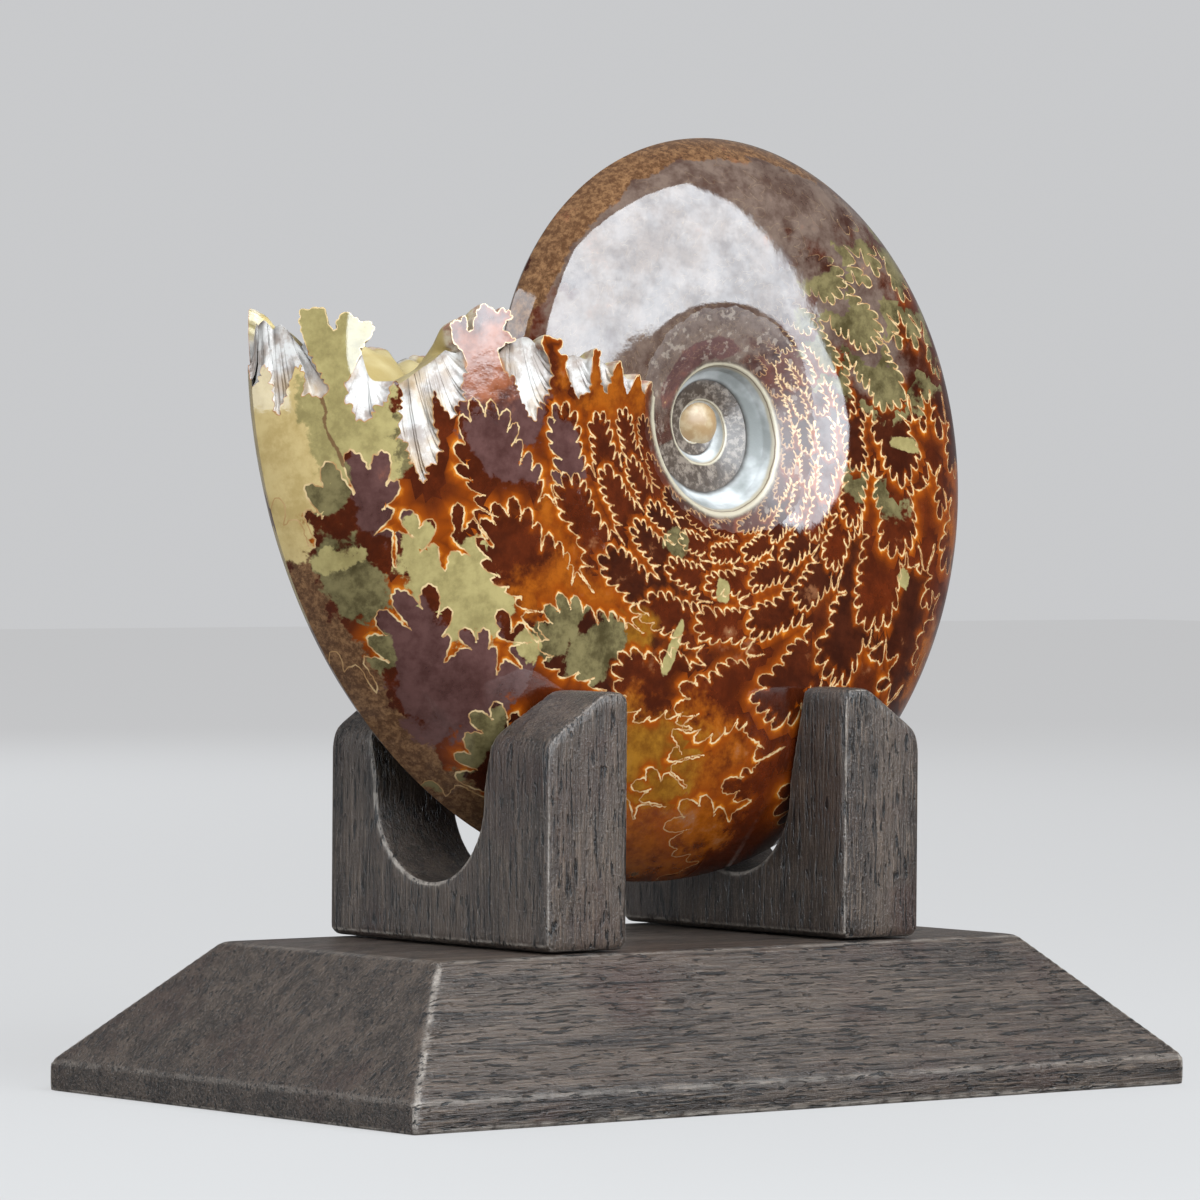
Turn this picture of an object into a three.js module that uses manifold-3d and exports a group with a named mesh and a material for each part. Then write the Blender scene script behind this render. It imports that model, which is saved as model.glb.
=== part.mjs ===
// A polished ammonite fossil, Cleoniceras type, on a black stained hardwood stand.
// The stand is a chamfered board with two upright blocks. Each block has a U notch along X, and the
// ammonite stands on its venter in the two notches, with its broken opening up and to the left.
// Millimetres. +X runs along the board, +Y away from the viewer, +Z up. The origin is the middle of
// the board's underside.
import * as THREE from "three";
import { mergeVertices } from "three/addons/utils/BufferGeometryUtils.js";
import Module from "manifold-3d";

const wasm = await Module();
wasm.setup();

// Board
const BOARD_LENGTH = 164;
const BOARD_WIDTH = 98;
const BOARD_HEIGHT = 25;
const BOARD_EDGE_HEIGHT = 5;
const BOARD_CHAMFER = 20;

// Upright blocks, mirrored about the middle of the board
const BLOCK_OUTER_X = 39.8;
const BLOCK_THICKNESS = 16.7;
const BLOCK_WIDTH = 57.7;
const BLOCK_HEIGHT = 41.5;
const BLOCK_OUTER_HEIGHT = 34;
const BLOCK_SLANT_LENGTH = 11.5;
const BLOCK_ROUND = 1;
const BLOCK_GAP = 0.3;
const BLOCK_MIDDLE_X = BLOCK_OUTER_X - BLOCK_THICKNESS / 2;

// U notch through each block
const NOTCH_HALF_WIDTH = 14.2;
const NOTCH_CENTRE_Z = 49.4;
const NOTCH_STRAIGHT_TOP_Z = 51;
const NOTCH_MOUTH_HALF_WIDTH = 17.8;
const NOTCH_LEFT_Y = 2.3;
const NOTCH_RIGHT_Y = -0.3;

// The shell is a logarithmic spiral. Its radius is the distance from the axis to the venter.
// SPIRAL_RADIUS is that radius at the far left, one half turn from +X.
const SPIRAL_CENTRE_X = 14.5;
const SPIRAL_CENTRE_Y = 2.5;
const SPIRAL_CENTRE_Z = 109;
const SPIRAL_RADIUS = 88.6;
const SPIRAL_GROWTH = 0.132;
const SPIRAL_OVAL = 0.032;
const SPIRAL_OVAL_ANGLE = 84.3;
const SHELL_YAW = -3.5;
const SHELL_TILT = -3;
const UMBILICUS_LIFT = 1.1;

// Whorl section, as shares of the spiral radius
const SEAM_RADIUS = 0.115;
const SEAM_HEIGHT = 0.075;
const RIM_RADIUS = 0.2;
const RIM_HEIGHT = 0.17;
const BULGE_RADIUS = 0.46;
const BULGE_HEIGHT = 0.218;
const TAPER_START = 0.35;
const TAPER_POWER = 5;
const VENTER_POWER = 0.86;
const WALL_SECTION = [
  [SEAM_RADIUS, SEAM_HEIGHT],
  [0.15, 0.09],
  [0.182, 0.13],
  [0.194, 0.159],
];

// Angles behind the opening, in degrees
const OPENING_ANGLE = 170;
const CREST_DEPTH = 28;
const BODY_JOIN = 180;
const INNER_JOINS = [404, 584, 764, 962];
const BODY_STEP = 8.5;
const INNER_STEP = 18;
const NUCLEUS_RADII = [3.4, 3.1, 3.9];
const NUCLEUS_PLACE = [0, 0, 0.6];

// The broken opening follows the last septum. Each row is a point from the venter to the umbilical
// seam: share of the flank's arc from rim to venter, height of the outer wall's edge and height of the
// crest behind it, both in millimetres along the direction of growth. Where the two differ, the wall
// is broken away and the septum shows as a hanging lobe; where they are alike, a frond stands up.
const OPENING_OUTLINE = [
  [1, -9.5, 1.6],
  [0.989, -8.5, 2.4],
  [0.971, -5.4, 1.6],
  [0.955, -8.8, 1.5],
  [0.947, -13.1, 1.7],
  [0.925, -9.1, 1],
  [0.906, -9.4, -0.7],
  [0.892, -4.9, -1.5],
  [0.885, -0.9, 1.3],
  [0.877, 4, 4],
  [0.855, 4.5, 4.5],
  [0.833, 4.3, 4.3],
  [0.816, 0.9, 0.9],
  [0.803, 3.5, 3.5],
  [0.786, 3.9, 3.9],
  [0.76, 2.8, 2.8],
  [0.738, 2.5, 2.5],
  [0.731, -5.1, -2.1],
  [0.722, -12.7, -5.6],
  [0.708, -9.5, -6.3],
  [0.693, -6.1, -6.1],
  [0.683, -15.1, -6.1],
  [0.657, -22.4, -5],
  [0.634, -18.5, -4],
  [0.617, -11.9, -2.9],
  [0.6, -6.5, -1.9],
  [0.575, -8.8, -0.3],
  [0.558, -10.2, 1.8],
  [0.541, -6.2, 4.8],
  [0.53, 2.9, 6.2],
  [0.515, 4.1, 4.1],
  [0.502, 8.4, 8.4],
  [0.481, 8.9, 8.9],
  [0.46, 8.2, 8.2],
  [0.439, 8.8, 8.8],
  [0.421, 7.9, 7.9],
  [0.411, 0.7, 4.7],
  [0.392, -3.3, 4.2],
  [0.357, -7.8, 4],
  [0.338, -4.7, 5.2],
  [0.327, 6.3, 6.3],
  [0.298, 6.2, 6.2],
  [0.28, 2.4, 4.3],
  [0.265, -0.6, 3.6],
  [0.244, -2.4, 3.5],
  [0.22, -1.6, 3.6],
  [0.208, 4.4, 4.8],
  [0.197, 5.8, 5.8],
  [0.185, 4.7, 5],
  [0.174, 0.6, 3.6],
  [0.163, -0.6, 3.4],
  [0.147, 1.3, 3.5],
  [0.136, 4.1, 4.1],
  [0.125, 4.4, 4.4],
  [0.112, 2.5, 3],
  [0.094, -0.1, 2.5],
  [0.08, 1.2, 2.5],
  [0.071, 3, 3],
  [0.061, 3.3, 3.3],
  [0.05, 2.1, 2.2],
  [0.039, 0.8, 1.8],
  [0.031, 2.5, 2.5],
  [0.022, 2.8, 2.8],
  [0, 0.8, 0.8],
];
const COARSE_STRIDE = 3;
const SEPTUM_LEVEL = -6;
const SEPTUM_SAG = -4;
const SEPTUM_ROWS = [
  { inward: 0.1, blur: 0 },
  { inward: 0.32, blur: 2 },
  { inward: 0.6, blur: 5 },
  { inward: 0.85, blur: 8 },
];
const SEPTUM_CORE_RANGE = [0.36, 0.8];
const CREST_ROWS = [0, 0.35, 0.65, 0.86, 1];

const degrees = THREE.MathUtils.degToRad;
const clamp = THREE.MathUtils.clamp;
const lerp = THREE.MathUtils.lerp;

const WOOD = new THREE.MeshStandardMaterial({ color: 0x2b2725, roughness: 0.6, metalness: 0 });
const FOSSIL = new THREE.MeshStandardMaterial({ color: 0x7a3512, roughness: 0.12, metalness: 0 });

// Turning three.js geometry into a solid, and a solid back into geometry
function solidOf(geometry) {
  const bare = geometry.index ? geometry.toNonIndexed() : geometry.clone();
  bare.deleteAttribute("normal");
  bare.deleteAttribute("uv");
  const merged = mergeVertices(bare, 1e-4);
  return new wasm.Manifold(
    new wasm.Mesh({
      numProp: 3,
      vertProperties: merged.attributes.position.array,
      triVerts: new Uint32Array(merged.index.array),
    }),
  );
}

function geometryOf(solid) {
  const mesh = solid.getMesh();
  const geometry = new THREE.BufferGeometry();
  geometry.setAttribute("position", new THREE.BufferAttribute(mesh.vertProperties, 3));
  geometry.setIndex(new THREE.BufferAttribute(mesh.triVerts, 1));
  return geometry;
}

function namedMesh(name, geometry, material) {
  const mesh = new THREE.Mesh(geometry, material);
  mesh.name = name;
  return mesh;
}

// Board: an upright edge all round, then one chamfer up to the flat top
function boardGeometry() {
  const x = BOARD_LENGTH / 2;
  const y = BOARD_WIDTH / 2;
  const levels = [
    [x, y, 0],
    [x, y, BOARD_EDGE_HEIGHT],
    [x - BOARD_CHAMFER, y - BOARD_CHAMFER, BOARD_HEIGHT],
  ];
  const points = levels.flatMap(([a, b, z]) => [[-a, -b, z], [a, -b, z], [a, b, z], [-a, b, z]]);
  const faces = [[0, 2, 1], [0, 3, 2], [8, 9, 10], [8, 10, 11]];
  for (let level = 0; level < 2; level++) {
    for (let side = 0; side < 4; side++) {
      const low = level * 4 + side;
      const next = level * 4 + ((side + 1) % 4);
      faces.push([low, next, next + 4], [low, next + 4, low + 4]);
    }
  }
  return meshGeometry(points, faces);
}

function meshGeometry(points, faces) {
  const geometry = new THREE.BufferGeometry();
  geometry.setAttribute("position", new THREE.Float32BufferAttribute(points.flat(), 3));
  geometry.setIndex(faces.flat());
  return geometry;
}

// Block: its profile across the thickness, extruded along Y with rounded ends, less the notch
function blockGeometry(side) {
  const r = BLOCK_ROUND;
  const outline = new THREE.Shape();
  outline.moveTo(r, 0);
  outline.lineTo(BLOCK_THICKNESS - r, 0);
  outline.lineTo(BLOCK_THICKNESS, r);
  outline.lineTo(BLOCK_THICKNESS, BLOCK_HEIGHT - 2 * r);
  outline.quadraticCurveTo(BLOCK_THICKNESS, BLOCK_HEIGHT, BLOCK_THICKNESS - 2 * r, BLOCK_HEIGHT);
  outline.lineTo(BLOCK_SLANT_LENGTH + r, BLOCK_HEIGHT);
  outline.quadraticCurveTo(
    BLOCK_SLANT_LENGTH,
    BLOCK_HEIGHT,
    BLOCK_SLANT_LENGTH - r,
    BLOCK_HEIGHT - r * 0.6,
  );
  outline.lineTo(2 * r, BLOCK_OUTER_HEIGHT + r * 1.2);
  outline.quadraticCurveTo(0, BLOCK_OUTER_HEIGHT, 0, BLOCK_OUTER_HEIGHT - 3 * r);
  outline.lineTo(0, r);
  outline.closePath();
  const body = new THREE.ExtrudeGeometry(outline, {
    depth: BLOCK_WIDTH - 2 * r,
    bevelEnabled: true,
    bevelThickness: r,
    bevelSize: r,
    bevelOffset: -r,
    bevelSegments: 2,
    curveSegments: 3,
  });
  body.translate(0, 0, -BLOCK_WIDTH / 2 + r);
  body.rotateX(Math.PI / 2);
  body.translate(-BLOCK_OUTER_X, 0, BOARD_HEIGHT + BLOCK_GAP);
  if (side > 0) body.rotateZ(Math.PI);
  const cutter = notchGeometry();
  cutter.translate(side * BLOCK_MIDDLE_X, side < 0 ? NOTCH_LEFT_Y : NOTCH_RIGHT_Y, 0);
  return geometryOf(solidOf(body).subtract(solidOf(cutter)));
}

// Notch cutter: a U with a slightly flared mouth, longer than the block is thick
function notchGeometry() {
  const top = BOARD_HEIGHT + BLOCK_HEIGHT + BLOCK_GAP;
  const flare = (NOTCH_MOUTH_HALF_WIDTH - NOTCH_HALF_WIDTH) / (top - NOTCH_STRAIGHT_TOP_Z);
  const above = top + 2;
  const wide = NOTCH_MOUTH_HALF_WIDTH + flare * (above - top);
  const outline = new THREE.Shape();
  outline.moveTo(NOTCH_HALF_WIDTH, NOTCH_CENTRE_Z);
  outline.absarc(0, NOTCH_CENTRE_Z, NOTCH_HALF_WIDTH, 0, -Math.PI, true);
  outline.lineTo(-NOTCH_HALF_WIDTH, NOTCH_STRAIGHT_TOP_Z);
  outline.lineTo(-wide, above);
  outline.lineTo(wide, above);
  outline.lineTo(NOTCH_HALF_WIDTH, NOTCH_STRAIGHT_TOP_Z);
  outline.closePath();
  const cutter = new THREE.ExtrudeGeometry(outline, {
    depth: BLOCK_THICKNESS + 4,
    bevelEnabled: false,
    curveSegments: 12,
  });
  cutter.rotateX(Math.PI / 2);
  cutter.rotateZ(Math.PI / 2);
  cutter.translate(-BLOCK_THICKNESS / 2 - 2, 0, 0);
  return cutter;
}

// Venter radius at an angle in degrees ahead of the opening, negative towards the older shell
function spiralRadius(ahead) {
  const turned = degrees(OPENING_ANGLE - 360 - ahead);
  const oval = 1 + SPIRAL_OVAL * Math.cos(2 * (turned - degrees(SPIRAL_OVAL_ANGLE)));
  return SPIRAL_RADIUS * Math.exp(-SPIRAL_GROWTH * (turned + Math.PI)) * oval;
}

// Half thickness of the whorl at a share of the spiral radius, from the umbilical rim to the venter
function halfThickness(share) {
  const x = clamp((share - RIM_RADIUS) / (BULGE_RADIUS - RIM_RADIUS), 0, 1);
  const inner = lerp(RIM_HEIGHT, BULGE_HEIGHT, 1 - (1 - x) ** 2);
  const taper = clamp((share - TAPER_START) / (1 - TAPER_START), 0, 1) ** TAPER_POWER;
  return inner * Math.max(0, 1 - taper) ** VENTER_POWER;
}

// The flank as an even arc-length table, so that the outline's shares fall at true distances
const FLANK = (() => {
  const table = [{ share: RIM_RADIUS, height: RIM_HEIGHT, length: 0 }];
  const steps = 800;
  for (let i = 1; i <= steps; i++) {
    const share = 1 - (1 - RIM_RADIUS) * (1 - i / steps) ** 2;
    const height = halfThickness(share);
    const last = table[i - 1];
    const length = last.length + Math.hypot(share - last.share, height - last.height);
    table.push({ share, height, length });
  }
  return table;
})();

function flankPoint(arcShare) {
  const wanted = arcShare * FLANK[FLANK.length - 1].length;
  const after = Math.max(1, FLANK.findIndex((entry) => entry.length >= wanted - 1e-9));
  const [a, b] = [FLANK[after - 1], FLANK[after]];
  const mix = (wanted - a.length) / (b.length - a.length);
  return [lerp(a.share, b.share, mix), lerp(a.height, b.height, mix)];
}

// From shares of the spiral radius, and degrees ahead of the opening, to a place on the stand
const SHELL_TURN = new THREE.Matrix4()
  .makeTranslation(SPIRAL_CENTRE_X, SPIRAL_CENTRE_Y, SPIRAL_CENTRE_Z)
  .multiply(new THREE.Matrix4().makeRotationX(degrees(SHELL_TILT)))
  .multiply(new THREE.Matrix4().makeRotationZ(degrees(SHELL_YAW)));

function shellPoint(share, height, ahead) {
  const radius = spiralRadius(ahead);
  const turned = degrees(OPENING_ANGLE - ahead);
  const lift = UMBILICUS_LIFT * clamp(1 - share, 0, 1);
  return new THREE.Vector3(
    share * radius * Math.cos(turned),
    height * radius,
    share * radius * Math.sin(turned) + lift,
  )
    .applyMatrix4(SHELL_TURN)
    .toArray();
}

// One side of the whorl section, from the venter to the umbilical seam
const FINE_SECTION = [...OPENING_OUTLINE.map(([arc]) => flankPoint(arc)), ...[...WALL_SECTION].reverse()];
const COARSE_SECTION = FINE_SECTION.filter(
  (point, i) => i >= OPENING_OUTLINE.length - 1 || i % COARSE_STRIDE === 0,
);

// A closed loop of points round the whorl: near side from the seam to the venter, then the far side
function loopOf(section, place) {
  const near = section.map((point, i) => place(point, i, -1)).reverse();
  const far = section.map((point, i) => place(point, i, 1)).slice(1);
  return [...near, ...far];
}

function straightLoop(section, ahead) {
  return loopOf(section, ([share, height], i, side) => shellPoint(share, side * height, ahead));
}

// A solid from a row of loops. The first loop is capped across, and the last by the given closing.
class Skin {
  constructor() {
    this.points = [];
    this.faces = [];
  }

  add(loop) {
    const start = this.points.length;
    this.points.push(...loop);
    return loop.map((point, i) => start + i);
  }

  // Joins two loops; the second may have fewer points, each of which is also a point of the first
  join(fine, coarse, match) {
    for (let i = 0; i < coarse.length; i++) {
      const j = (i + 1) % coarse.length;
      const from = match ? match[i] : i;
      const to = match && j ? match[j] : j || fine.length;
      const half = Math.ceil((from + to) / 2);
      for (let k = from; k < to; k++) {
        const next = (k + 1) % fine.length;
        this.faces.push([fine[k], fine[next], coarse[k < half ? i : j]]);
        if (k === half - 1) this.faces.push([fine[next], coarse[j], coarse[i]]);
      }
    }
  }

  capAcross(loop, flip) {
    const count = loop.length;
    for (let i = 0; i < (count - 1) / 2; i++) {
      const [a, b, c, d] = [loop[i], loop[i + 1], loop[count - 2 - i], loop[count - 1 - i]];
      const made = b === c ? [[a, b, d]] : [[a, b, c], [a, c, d]];
      for (const [p, q, r] of made) this.faces.push(flip ? [p, r, q] : [p, q, r]);
    }
  }

  solid() {
    return solidOf(meshGeometry(this.points, this.faces));
  }
}

// A stretch of whorl between two angles, capped at both ends
function whorl(section, from, to, step) {
  const skin = new Skin();
  const rows = Math.round((to - from) / step);
  let last = skin.add(straightLoop(section, from));
  skin.capAcross(last, false);
  for (let i = 1; i <= rows; i++) {
    const next = skin.add(straightLoop(section, lerp(from, to, i / rows)));
    skin.join(next, last);
    last = next;
  }
  skin.capAcross(last, true);
  return skin.solid();
}

function blurred(values, reach) {
  return values.map((value, i) => {
    let sum = 0;
    let weight = 0;
    for (let k = -2 * reach; k <= 2 * reach; k++) {
      const w = Math.exp(-((k / Math.max(reach, 1)) ** 2));
      sum += w * values[clamp(i + k, 0, values.length - 1)];
      weight += w;
    }
    return sum / weight;
  });
}

// The youngest stretch, with the frilled edge and the fluted septum
function openingWhorl(from) {
  const openingRadius = spiralRadius(0);
  const wallCount = WALL_SECTION.length;
  const withWall = (column) => [
    ...OPENING_OUTLINE.map((row) => row[column]),
    ...Array(wallCount).fill(OPENING_OUTLINE[OPENING_OUTLINE.length - 1][column]),
  ];
  const edge = withWall(1);
  const crest = withWall(2);
  const aheadOf = (distance, share) =>
    THREE.MathUtils.radToDeg(distance / (Math.max(share, RIM_RADIUS) * openingRadius));

  const skin = new Skin();
  const match = matchingPlaces();
  const rows = Math.round((-CREST_DEPTH - from) / BODY_STEP);
  let last = skin.add(straightLoop(COARSE_SECTION, from));
  skin.capAcross(last, false);
  for (let i = 1; i < rows; i++) {
    const next = skin.add(straightLoop(COARSE_SECTION, lerp(from, -CREST_DEPTH, i / rows)));
    skin.join(next, last);
    last = next;
  }
  CREST_ROWS.forEach((rise, row) => {
    const place = ([share, height], i, side) =>
      shellPoint(share, side * height, lerp(-CREST_DEPTH, aheadOf(edge[i], share), rise));
    const next = skin.add(loopOf(FINE_SECTION, place));
    skin.join(next, last, row ? null : match);
    last = next;
  });
  for (const { inward, blur } of SEPTUM_ROWS) {
    const heights = blurred(crest, blur);
    const place = ([share, height], i, side) => {
      const [core, rest] = corePoint(share);
      const level = lerp(heights[i], rest, inward ** 2);
      const at = lerp(share, core, inward);
      return shellPoint(at, side * height * (1 - inward), aheadOf(level, at));
    };
    const next = skin.add(loopOf(FINE_SECTION, place));
    skin.join(next, last);
    last = next;
  }
  closeSeptum(skin, last, aheadOf);
  return skin.solid();
}

// Middle line of the septum, and how far it sags there
function corePoint(share) {
  const [low, high] = SEPTUM_CORE_RANGE;
  const core = clamp(share, low, high);
  const along = (core - low) / (high - low);
  return [core, SEPTUM_LEVEL + SEPTUM_SAG * Math.sin(Math.PI * along)];
}

// Both sides of the septum meet on its middle line
function closeSeptum(skin, loop, aheadOf) {
  const count = loop.length;
  const middle = (count - 1) / 2;
  const spine = FINE_SECTION.map(([share]) => {
    const [core, level] = corePoint(share);
    return shellPoint(core, 0, aheadOf(level, core));
  });
  const line = skin.add(spine);
  for (let i = 0; i < middle; i++) {
    const near = [loop[middle - i], loop[middle - i - 1]];
    const far = [loop[middle + i], loop[middle + i + 1]];
    skin.faces.push([line[i], near[0], near[1]], [line[i], near[1], line[i + 1]]);
    skin.faces.push([line[i], far[1], far[0]], [line[i], line[i + 1], far[1]]);
  }
  skin.faces.push([loop[0], loop[count - 1], line[middle]]);
}

// Where each point of the coarse loop lies in the fine loop
function matchingPlaces() {
  const middle = FINE_SECTION.length - 1;
  const side = COARSE_SECTION.map((point) => FINE_SECTION.indexOf(point));
  const near = side.map((i) => middle - i).reverse();
  const far = side.map((i) => middle + i).slice(1);
  return [...near, ...far];
}

function nucleus() {
  const ball = new THREE.SphereGeometry(1, 20, 14);
  ball.scale(...NUCLEUS_RADII);
  ball.translate(NUCLEUS_PLACE[0], NUCLEUS_PLACE[1], NUCLEUS_PLACE[2] + UMBILICUS_LIFT);
  ball.applyMatrix4(SHELL_TURN);
  return solidOf(ball);
}

function ammoniteGeometry() {
  const pieces = [
    openingWhorl(-BODY_JOIN),
    whorl(COARSE_SECTION, -INNER_JOINS[0], -BODY_JOIN, BODY_STEP),
    ...INNER_JOINS.slice(1).map((older, i) => whorl(COARSE_SECTION, -older, -INNER_JOINS[i], INNER_STEP)),
    nucleus(),
  ];
  return geometryOf(pieces.reduce((whole, piece) => whole.add(piece)));
}

const part = new THREE.Group();
part.add(namedMesh("base", boardGeometry(), WOOD));
part.add(namedMesh("bracket_left", blockGeometry(-1), WOOD));
part.add(namedMesh("bracket_right", blockGeometry(1), WOOD));
part.add(namedMesh("ammonite", ammoniteGeometry(), FOSSIL));

export default part;
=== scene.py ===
"""Looks for a polished ammonite, Cleoniceras type, on its black stained wooden stand.

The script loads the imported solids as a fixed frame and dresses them. Lengths are in metres unless a name
ends in MM. +X runs along the stand, +Y away from the viewer, +Z up.
"""
import math

import bpy
import numpy as np
from mathutils import Matrix, Vector, geometry, kdtree
from mathutils.bvhtree import BVHTree


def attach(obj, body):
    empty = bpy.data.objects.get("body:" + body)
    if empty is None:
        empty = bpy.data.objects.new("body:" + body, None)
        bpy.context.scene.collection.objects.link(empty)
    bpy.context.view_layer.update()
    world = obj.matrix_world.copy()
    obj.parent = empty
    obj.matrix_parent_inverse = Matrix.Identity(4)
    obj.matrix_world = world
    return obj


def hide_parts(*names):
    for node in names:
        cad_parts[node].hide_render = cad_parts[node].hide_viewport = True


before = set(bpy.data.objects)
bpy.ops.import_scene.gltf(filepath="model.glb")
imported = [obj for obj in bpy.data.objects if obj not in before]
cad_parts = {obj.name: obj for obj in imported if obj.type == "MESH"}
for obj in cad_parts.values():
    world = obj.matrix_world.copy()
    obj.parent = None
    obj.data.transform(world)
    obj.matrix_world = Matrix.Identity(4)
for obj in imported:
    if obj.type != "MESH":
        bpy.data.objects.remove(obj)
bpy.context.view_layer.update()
MM = 0.001
TINY = 1e-12

# Camera, fitted to the photograph
CAMERA_PLACE_MM = (-740.4, -893.3, 99.97)
CAMERA_YAW = 39.43
CAMERA_DOWN = 0.94
CAMERA_ROLL = 0.43
CAMERA_LENS = 209.8


def make_camera():
    yaw, down, roll = (math.radians(v) for v in (CAMERA_YAW, CAMERA_DOWN, CAMERA_ROLL))
    forward = Vector((math.sin(yaw) * math.cos(down), math.cos(yaw) * math.cos(down), -math.sin(down)))
    level = Vector((math.cos(yaw), -math.sin(yaw), 0))
    upward = level.cross(forward)
    right = level * math.cos(roll) + upward * math.sin(roll)
    up = upward * math.cos(roll) - level * math.sin(roll)
    turn = Matrix((right, up, -forward)).transposed().to_4x4()
    data = bpy.data.cameras.new("camera")
    data.lens = CAMERA_LENS
    data.sensor_width = 36
    data.clip_start = 0.05
    data.clip_end = 20
    camera = bpy.data.objects.new("camera", data)
    camera.matrix_world = Matrix.Translation(Vector(CAMERA_PLACE_MM) * MM) @ turn
    bpy.context.scene.collection.objects.link(camera)
    bpy.context.scene.camera = camera


make_camera()

# Shell: a logarithmic spiral. Angles are radians ahead of the broken opening, negative towards older shell.
SPIRAL_CENTRE_MM = (14.5, 2.5, 109.0)
SPIRAL_RADIUS_MM = 88.6
SPIRAL_GROWTH = 0.132
SPIRAL_OVAL = 0.032
SPIRAL_OVAL_ANGLE = math.radians(84.3)
SHELL_YAW = math.radians(-3.5)
SHELL_TILT = math.radians(-3)
UMBILICUS_LIFT_MM = 1.1
OPENING_ANGLE = math.radians(170)
SEAM_SHARE = 0.115
RIM_SHARE = 0.2
RIM_HEIGHT = 0.17
BULGE_SHARE = 0.46
BULGE_HEIGHT = 0.218
TAPER_START = 0.35
TAPER_POWER = 5
VENTER_POWER = 0.86
WALL_POINTS = 80
FLANK_POINTS = 1200
WALL_SECTION = ((0.115, 0.075), (0.15, 0.09), (0.182, 0.13), (0.194, 0.159), (0.2, 0.17))


def spiral_radius(ahead):
    """Distance from the axis to the venter, in millimetres."""
    turned = OPENING_ANGLE - 2 * math.pi - ahead
    oval = 1 + SPIRAL_OVAL * np.cos(2 * (turned - SPIRAL_OVAL_ANGLE))
    return SPIRAL_RADIUS_MM * np.exp(-SPIRAL_GROWTH * (turned + math.pi)) * oval


def half_thickness(share):
    x = np.clip((share - RIM_SHARE) / (BULGE_SHARE - RIM_SHARE), 0, 1)
    inner = RIM_HEIGHT + (BULGE_HEIGHT - RIM_HEIGHT) * (1 - (1 - x) ** 2)
    taper = np.clip((share - TAPER_START) / (1 - TAPER_START), 0, 1) ** TAPER_POWER
    return inner * np.clip(1 - taper, 0, 1) ** VENTER_POWER


def smooth_wall():
    """The umbilical wall as a smooth line of shares and heights, from the seam to the rim."""
    knots = np.array(WALL_SECTION)
    fine = np.linspace(0, len(knots) - 1, WALL_POINTS)
    share = np.interp(fine, range(len(knots)), knots[:, 0])
    height = np.interp(fine, range(len(knots)), knots[:, 1])
    return share, height


def make_section():
    """Tables along one side of the section: arc (0 at the rim, 1 at the venter), share, height, conform."""
    wall_share, wall_height = smooth_wall()
    flank_share = 1 - (1 - RIM_SHARE) * (1 - np.linspace(0, 1, FLANK_POINTS)) ** 2
    flank_height = half_thickness(flank_share)
    share = np.concatenate([wall_share[:-1], flank_share])
    height = np.concatenate([wall_height[:-1], flank_height])
    step = np.hypot(np.diff(share), np.diff(height))
    length = np.concatenate([[0], np.cumsum(step)])
    rim = len(wall_share) - 1
    arc = (length - length[rim]) / (length[-1] - length[rim])
    conform = np.concatenate([[0], np.cumsum(step / (0.5 * (share[1:] + share[:-1])))])
    return arc, share, height, conform


ARC, SHARE, HEIGHT, CONFORM = make_section()
ARC_SEAM = ARC[0]
CONFORM_RIM = float(np.interp(0, ARC, CONFORM))
CONFORM_VENTER = CONFORM[-1]


def share_at(arc):
    return np.interp(arc, ARC, SHARE)


def conform_at(arc):
    return np.interp(arc, ARC, CONFORM)


def arc_of(conform):
    return np.interp(conform, CONFORM, ARC)


def rotated(a, b, angle):
    return a * math.cos(angle) - b * math.sin(angle), a * math.sin(angle) + b * math.cos(angle)


def placed(x, y, z):
    """Places in the shell's own axes, in millimetres, to places on the stand in metres."""
    x, y = rotated(x, y, SHELL_YAW)
    y, z = rotated(y, z, SHELL_TILT)
    return (np.stack(np.broadcast_arrays(x, y, z), -1) + np.array(SPIRAL_CENTRE_MM)) * MM


def shell_point(share, height, ahead):
    """Shares of the spiral radius and an angle, to places on the stand in metres."""
    radius = spiral_radius(ahead)
    turned = OPENING_ANGLE - ahead
    x = share * radius * np.cos(turned)
    y = height * radius
    z = share * radius * np.sin(turned) + UMBILICUS_LIFT_MM * np.clip(1 - share, 0, 1)
    return placed(x, y, z)


def flank_place(arc, ahead, side):
    arc = np.asarray(arc, float)
    height = np.interp(arc, ARC, HEIGHT)
    return shell_point(share_at(arc), side * height, ahead)


def ahead_of(distance_mm, arc):
    """Millimetres along the growth direction at the opening, to radians."""
    return distance_mm / (np.maximum(share_at(arc), RIM_SHARE) * spiral_radius(0.0))


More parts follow.
